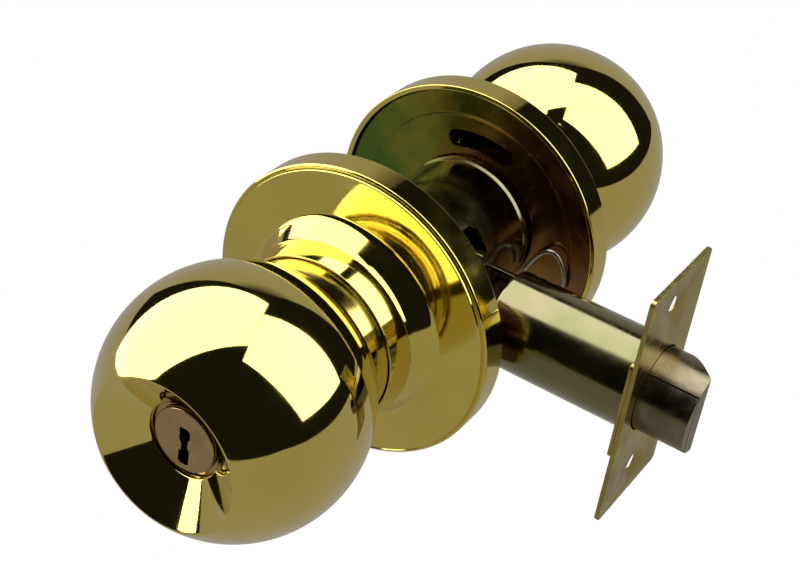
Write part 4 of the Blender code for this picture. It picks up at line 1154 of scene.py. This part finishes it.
@dataclass
class KeyCylinder:
    """The pin tumbler cylinder in the keyed knob: body, plug, tumblers, springs, clip and tailpiece."""

    pins: int = 5
    plug_radius: float = 6.35
    head_radius: float = 7.1
    head_height: float = 1.0
    dish: float = 0.35
    groove_depth: float = 1.0
    tail_step: float = 0.33
    body_radius: float = 9.25
    block_half: float = 3.4
    keyway_width: float = 2.5
    keyway_top: float = 2.8
    keyway_foot: float = -5.7
    ward: float = 0.5
    chamber_radius: float = 1.45
    spring: Coil = Coil(turns=5.0, radius=0.95, wire=0.18)

    def keyway(self) -> list[Point]:
        """Gives the keyway's outline: a slot with a ward from each side."""
        half = self.keyway_width / 2.0
        top, foot, ward = self.keyway_top, self.keyway_foot, self.ward
        right = [(half * 0.5, top), (half, top - 0.5), (half, top - 2.2), (half - ward, top - 2.9)]
        right += [(half - ward, top - 4.4), (half, top - 5.1), (half, foot + 0.3), (half * 0.6, foot)]
        left = [(-half * 0.5, foot), (-half, foot + 0.4), (-half, top - 6.0), (-half + ward, top - 5.4)]
        return [(-half, top), *right, *left, (-half + ward, top - 3.9), (-half, top - 3.2)]

    def plug(self) -> Object:
        """Turns the plug and cuts its keyway and pin chambers."""
        end, face = Axis.OUTSIDE.span("key_plug")
        groove_top = Axis.OUTSIDE.span("key_cylinder_body")[0] - 0.15
        groove_foot = end + 0.6
        groove = self.plug_radius - self.groove_depth
        tail = self.plug_radius - self.tail_step
        corners = [
            (0.0, face - self.dish, 0.0),
            (self.head_radius - 1.6, face - self.dish / 2.0, 2.0),
            (self.head_radius, face, 0.35),
            (self.head_radius, face - self.head_height, 0.1),
            (self.plug_radius, face - self.head_height, 0.1),
            (self.plug_radius, groove_top, 0.15),
            (groove, groove_top, 0.05),
            (groove, groove_foot, 0.05),
            (tail, groove_foot, 0.1),
            (tail, end, 0.2),
            (0.0, end, 0.0),
        ]
        plug = lathe("plug", soften(corners, closed=False), Axis.OUTSIDE, ROUND_STEPS, closed=False)
        carve(plug, prism("keyway", self.keyway(), Axis.OUTSIDE, end - 1.0, face + 1.0))
        chambers = []
        for number in range(1, self.pins + 1):
            low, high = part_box(f"key_pin_{number}")
            level = (low.y + high.y) / 2.0 / MM
            chambers.append(upright_rod(f"chamber_{number}", self.chamber_radius, -1.0, 9.0, level))
        return carve(plug, *chambers)

    def body(self) -> Object:
        """Turns the body's ring and joins the tumbler block on top of it."""
        back, face = Axis.OUTSIDE.span("key_cylinder_body")
        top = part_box("key_cylinder_body")[1].z / MM
        bore = self.plug_radius + CLEAR
        outline = sleeve(self.body_radius, bore, back, face, (0.3, 0.3, 0.1, 0.15))
        body = lathe("cylinder_body", outline, Axis.OUTSIDE, ROUND_STEPS)
        half = self.block_half
        stack = block("tumbler_block", (-half, -face, bore + 1.3), (half, -back, top), edge=0.3)
        return fuse(body, stack)

    def build(self, bench: Bench) -> None:
        """Builds and dresses the cylinder."""
        bench.fit(self.plug(), SATIN_NICKEL, "key_plug")
        bench.fit(self.body(), SATIN_NICKEL, "key_cylinder_body")
        bench.refine("chamber_cover", SATIN_NICKEL, 0.2)
        for number in range(1, self.pins + 1):
            bench.dress(f"key_pin_{number}", TURNED_BRASS)
            bench.dress(f"driver_pin_{number}", TURNED_BRASS)
            bench.fit_spring(f"pin_spring_{number}", self.spring, upright=True)
        bench.dress("plug_clip", DRAWN_WIRE)
        bench.refine("key_tailpiece", NICKEL_STEEL, 0.15)


@dataclass
class TurnButton:
    """The inside knob's turn button with its guide, locking bar and dog."""

    head_radius: float = 7.0
    head_wall: float = 1.4
    stem_radius: float = 3.0
    thumb_height: float = 6.5
    thumb_half_wall: float = 1.7
    thumb_half_width: float = 6.2
    thumb_round: float = 1.3

    def button(self) -> Object:
        """Turns the button's head and stem and joins the thumb bar to it."""
        stem_end, thumb_top = Axis.INSIDE.span("turn_button")
        face = thumb_top - self.thumb_height
        back = face - self.head_wall
        corners = [
            (0.0, face, 0.0),
            (self.head_radius, face, 0.5),
            (self.head_radius, back, 0.2),
            (self.stem_radius, back, 0.2),
            (self.stem_radius, stem_end, 0.3),
            (0.0, stem_end, 0.0),
        ]
        head = lathe("button", soften(corners, closed=False), Axis.INSIDE, ROUND_STEPS, closed=False)
        wall, width = self.thumb_half_wall, self.thumb_half_width
        thumb = block("thumb", (-wall, face - 0.7, -width), (wall, thumb_top, width), edge=self.thumb_round)
        return fuse(head, thumb)

    def build(self, bench: Bench) -> None:
        """Builds and dresses the button and what it turns."""
        bench.fit(self.button(), MIRROR_BRASS, "turn_button")
        bench.dress("button_guide", CHROMATE)
        bench.refine("locking_bar", NICKEL_STEEL, 0.15)
        bench.refine("locking_dog", NICKEL_STEEL, 0.15)


@dataclass
class Latch:
    """The tubular latch: tube, fork, two plates, bolt, plunger and their springs."""

    tube_radius: float = 10.6
    tube_wall: float = 0.9
    tube_turn_in: float = 0.25
    bolt_radius: float = 9.4
    plunger_depth: float = 3.15
    nose_width: float = 7.8
    bevel_foot: float = 0.7
    plate_round: float = 1.2
    screw_height: float = 21.0
    screw_radius: float = 1.7
    sink_radius: float = 4.2
    sink_foot: float = 0.2
    bolt_spring: Coil = Coil(turns=8.0, radius=5.0, wire=0.4)
    plunger_spring: Coil = Coil(turns=16.0, radius=1.0, wire=0.25)

    def tube(self) -> Object:
        """Draws the tube, with its near edge turned in a little."""
        low, high = Axis.LATCH.span("latch_tube")
        bore = self.tube_radius - self.tube_wall
        corners = [
            (self.tube_radius, high, 0.15),
            (self.tube_radius, low + 0.5, 0.3),
            (self.tube_radius - self.tube_turn_in, low, 0.25),
            (bore, low, 0.2),
            (bore, high, 0.15),
        ]
        return lathe("tube", soften(corners), Axis.LATCH)

    def plate(self, node: str, screwed: bool) -> Object:
        """Blanks one plate with its bolt hole, and with countersunk screw holes where it is screwed."""
        low, high = Axis.LATCH.span(node)
        corner_low, corner_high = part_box(node)
        half_width = (corner_high.y - corner_low.y) / 2.0 / MM
        half_height = (corner_high.z - corner_low.z) / 2.0 / MM
        outline = rounded_rectangle(half_width, half_height, self.plate_round)
        plate = prism(f"{node}_blank", outline, Axis.LATCH, low, high)
        tools = [rod("bolt_hole", self.bolt_radius + CLEAR, low - 1.0, high + 1.0, Axis.LATCH, ROUND_STEPS)]
        foot = low + self.sink_foot
        narrow, top = self.screw_radius, 2.0 * high - foot
        wide = 2.0 * self.sink_radius - narrow
        hole = [(0.0, low - 1.0), (narrow, low - 1.0), (narrow, foot), (wide, top), (0.0, top)]
        for side in (1.0, -1.0) if screwed else ():
            centre = (0.0, 0.0, side * self.screw_height)
            tools.append(lathe(f"screw_hole_{side:+.0f}", hole, Axis.LATCH, SMALL_STEPS, False, centre))
        return break_edges(carve(plate, *tools), 0.12)

    def bolt(self) -> Object:
        """Turns the bolt, cuts the flat for the plunger and the bevel that meets the strike."""
        low, tip = Axis.LATCH.span("latch_bolt")
        reach = 2.0 * self.bolt_radius
        bolt = rod("bolt", self.bolt_radius, low, tip, Axis.LATCH, ROUND_STEPS)
        flat = -self.bolt_radius + self.plunger_depth + CLEAR
        groove = block("flat", (low - 1.0, -reach, -reach), (2.0 * tip, flat, reach))
        nose = -self.bolt_radius + self.nose_width
        rise = tip - Axis.LATCH.span("latch_faceplate")[1] - self.bevel_foot
        slope = math.atan2(rise, self.bolt_radius - nose)
        bevel = block("bevel", (0.0, -2.0 * rise, -2.0 * rise), (2.0 * rise, 2.0 * rise, 2.0 * rise))
        place = Matrix.Translation(Vector((tip, nose, 0.0)) * MM)
        bevel.data.transform(place @ Matrix.Rotation(slope, 4, "Z"))
        return break_edges(carve(bolt, groove, bevel), 0.5, 4)

    def plunger(self) -> Object:
        """Turns the plunger's bar and leaves the segment beside the bolt."""
        low, tip = Axis.LATCH.span("deadlatch_plunger")
        reach = 2.0 * self.bolt_radius
        plunger = rod("plunger", self.bolt_radius, low, tip, Axis.LATCH, ROUND_STEPS)
        inner = -self.bolt_radius + self.plunger_depth
        rest = block("rest", (low - 1.0, inner, -reach), (2.0 * tip, reach, reach))
        return break_edges(carve(plunger, rest), 0.7, 5)

    def build(self, bench: Bench) -> None:
        """Builds and dresses the latch."""
        bench.fit(self.tube(), YELLOW_ZINC, "latch_tube")
        bench.refine("latch_fork", YELLOW_ZINC, 0.2)
        for node, screwed in (("latch_backing_plate", False), ("latch_faceplate", True)):
            bench.fit(self.plate(node, screwed), STAMPED_ZINC, node)
        bench.fit(self.bolt(), NICKEL_STEEL, "latch_bolt")
        bench.fit(self.plunger(), NICKEL_STEEL, "deadlatch_plunger")
        bench.refine("bolt_tail", NICKEL_STEEL, 0.15)
        bench.fit_spring("bolt_spring", self.bolt_spring, "latch_bolt_slide")
        bench.fit_spring("plunger_spring", self.plunger_spring, "latch_bolt_slide")


def direction(azimuth: float, elevation: float) -> Vector:
    """Gives the unit vector from the object towards an azimuth and elevation in degrees."""
    turn, rise = math.radians(azimuth), math.radians(elevation)
    return Vector((math.sin(turn) * math.cos(rise), -math.cos(turn) * math.cos(rise), math.sin(rise)))


@dataclass
class Softbox:
    """A rectangular studio lamp, placed by its direction from the object and sized for one metre away."""

    name: str
    azimuth: float
    elevation: float
    width: float
    height: float
    roll: float
    brightness: float = 2.9
    distance: float = 1.4

    def build(self) -> None:
        """Makes the lamp, facing the object."""
        data = bpy.data.lights.new(self.name, "AREA")
        data.shape = "RECTANGLE"
        data.size = self.width * self.distance
        data.size_y = self.height * self.distance
        data.energy = self.brightness * math.pi * data.size * data.size_y
        lamp = bpy.data.objects.new(self.name, data)
        back = direction(self.azimuth, self.elevation)
        lamp.location = back * self.distance
        facing = (-back).to_track_quat("-Z", "Y").to_matrix()
        lamp.rotation_euler = (facing @ Matrix.Rotation(math.radians(self.roll), 3, "Z")).to_euler()
        bpy.context.scene.collection.objects.link(lamp)


@dataclass
class Studio:
    """The pale floor and sweep, the softboxes, the dark room above and the photograph's camera."""

    floor_level: float = -0.30
    floor_front: float = 1.9
    floor_reach: float = 6.0
    sweep_steps: int = 24
    sweep_distance: float = 2.2
    sweep_azimuth: float = 205.0
    sweep_half_angle: float = 40.0
    sweep_elevation: float = 42.0
    # Heights in metres over which the sweep's tone in reflections is painted darker: painted shade for the
    # lamps' fall-off
    sweep_painted_falloff: Point = (1.35, 1.95)
    white: str = "#FFFFFF"
    mirrored_tone: str = "#A09C94"
    lit_tone: str = "#8C8A86"
    room_tone: str = "#FFF8EC"
    room_strength: float = 0.01
    camera_place: tuple[float, float, float] = (0.14070, -0.26123, 0.20607)
    camera_azimuth: float = 28.475
    camera_elevation: float = 35.442
    camera_roll: float = 8.674
    lens: float = 73.9

    def paper(self) -> Material:
        """Makes the background paper: white to the camera, and a quieter tone in the metal's reflections,
        painted darker up the sweep as painted shade.
        """
        material = bpy.data.materials.new("background_paper")
        material.use_nodes = True
        tree = material.node_tree
        tree.nodes.clear()
        rays = add_node(tree, "ShaderNodeLightPath").outputs
        seen = add_node(tree, "ShaderNodeEmission", {"Color": linear(self.white), "Strength": 1.0})
        place = add_node(tree, "ShaderNodeTexCoord").outputs["Object"]
        height = add_node(tree, "ShaderNodeSeparateXYZ", {"Vector": place}).outputs["Z"]
        # Painted shade: the paper's tone in reflections darkens up the sweep, standing in for the lamps'
        # fall-off
        painted_falloff = range_node(tree, height, self.sweep_painted_falloff, (1.0, 0.1))
        tone = linear(self.mirrored_tone)
        mirrored = add_node(tree, "ShaderNodeEmission", {"Color": tone, "Strength": painted_falloff})
        lit = add_node(tree, "ShaderNodeBsdfDiffuse", {"Color": linear(self.lit_tone)})
        traced = sum_node(tree, "MAXIMUM", rays["Is Glossy Ray"], rays["Is Transmission Ray"])
        first = add_node(tree, "ShaderNodeMixShader", {0: traced, 1: lit, 2: mirrored})
        second = add_node(tree, "ShaderNodeMixShader", {0: rays["Is Camera Ray"], 1: first, 2: seen})
        add_node(tree, "ShaderNodeOutputMaterial", {"Surface": second})
        return material

    def ground(self) -> None:
        """Lays the paper on the floor and up the arched sweep behind the object."""
        reach, front, level = self.floor_reach, -self.floor_front, self.floor_level
        floor = bpy.data.meshes.new("paper_floor")
        corners = [(-reach, front), (reach, front), (reach, reach), (-reach, reach)]
        floor.from_pydata([(x, y, level) for x, y in corners], [], [(0, 1, 2, 3)])
        points = []
        for step in range(self.sweep_steps + 1):
            side = 2.0 * step / self.sweep_steps - 1.0
            angle = math.radians(self.sweep_azimuth + self.sweep_half_angle * side)
            x, y = self.sweep_distance * math.sin(angle), -self.sweep_distance * math.cos(angle)
            rise = math.radians(self.sweep_elevation * (1.0 - side * side) ** 0.8)
            points += [(x, y, level), (x, y, self.sweep_distance * math.tan(rise))]
        faces = [(2 * step, 2 * step + 2, 2 * step + 3, 2 * step + 1) for step in range(self.sweep_steps)]
        sweep = bpy.data.meshes.new("paper_sweep")
        sweep.from_pydata(points, [], faces)
        paper = self.paper()
        for mesh in (floor, sweep):
            mesh.materials.append(paper)
            make_object(mesh.name, mesh)

    def room(self) -> None:
        """Sets the world: white to the camera, and a dark room with a little fill to all else."""
        world = bpy.data.worlds.new("studio_room")
        bpy.context.scene.world = world
        world.use_nodes = True
        tree = world.node_tree
        tree.nodes.clear()
        rays = add_node(tree, "ShaderNodeLightPath").outputs
        seen = add_node(tree, "ShaderNodeBackground", {"Color": linear(self.white), "Strength": 1.0})
        dark = {"Color": linear(self.room_tone), "Strength": self.room_strength}
        dim = add_node(tree, "ShaderNodeBackground", dark)
        mix = add_node(tree, "ShaderNodeMixShader", {0: rays["Is Camera Ray"], 1: dim, 2: seen})
        add_node(tree, "ShaderNodeOutputWorld", {"Surface": mix})

    def camera(self) -> None:
        """Sets the camera where the photograph was taken from."""
        back = direction(self.camera_azimuth, self.camera_elevation)
        right = Vector((0.0, 0.0, 1.0)).cross(back).normalized()
        up = back.cross(right)
        roll = math.radians(self.camera_roll)
        tilted_right = right * math.cos(roll) + up * math.sin(roll)
        tilted_up = up * math.cos(roll) - right * math.sin(roll)
        data = bpy.data.cameras.new("photograph_camera")
        data.sensor_width = 36.0
        data.lens = self.lens
        data.clip_start = 0.01
        eye = bpy.data.objects.new("photograph_camera", data)
        turn = Matrix((tilted_right, tilted_up, back)).transposed()
        eye.matrix_world = Matrix.Translation(self.camera_place) @ turn.to_4x4()
        bpy.context.scene.collection.objects.link(eye)
        bpy.context.scene.camera = eye

    def build(self) -> None:
        """Sets up the whole studio."""
        self.ground()
        self.room()
        Softbox("left_softbox", -82.5, 44.4, 1.24, 2.42, 22.5).build()
        Softbox("right_softbox", 114.2, 47.7, 1.0, 1.42, -4.3).build()
        self.camera()
        bpy.context.scene.view_settings.view_transform = "Standard"


def main() -> None:
    """Builds the lockset's sub-assemblies in order and sets up the studio."""
    logging.basicConfig(level=logging.INFO, format="%(message)s")
    bench = Bench(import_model())
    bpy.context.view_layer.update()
    for name, axis in (("outside", Axis.OUTSIDE), ("inside", Axis.INSIDE)):
        for part in (BallKnob, Rose, Spindle):
            part(name, axis).build(bench)
    for works in (Chassis(), KeyCylinder(), TurnButton(), Latch()):
        works.build(bench)
    Studio().build()
    LOG.info("%d pieces fitted", bench.fitted)


if __name__ == "__main__":
    main()
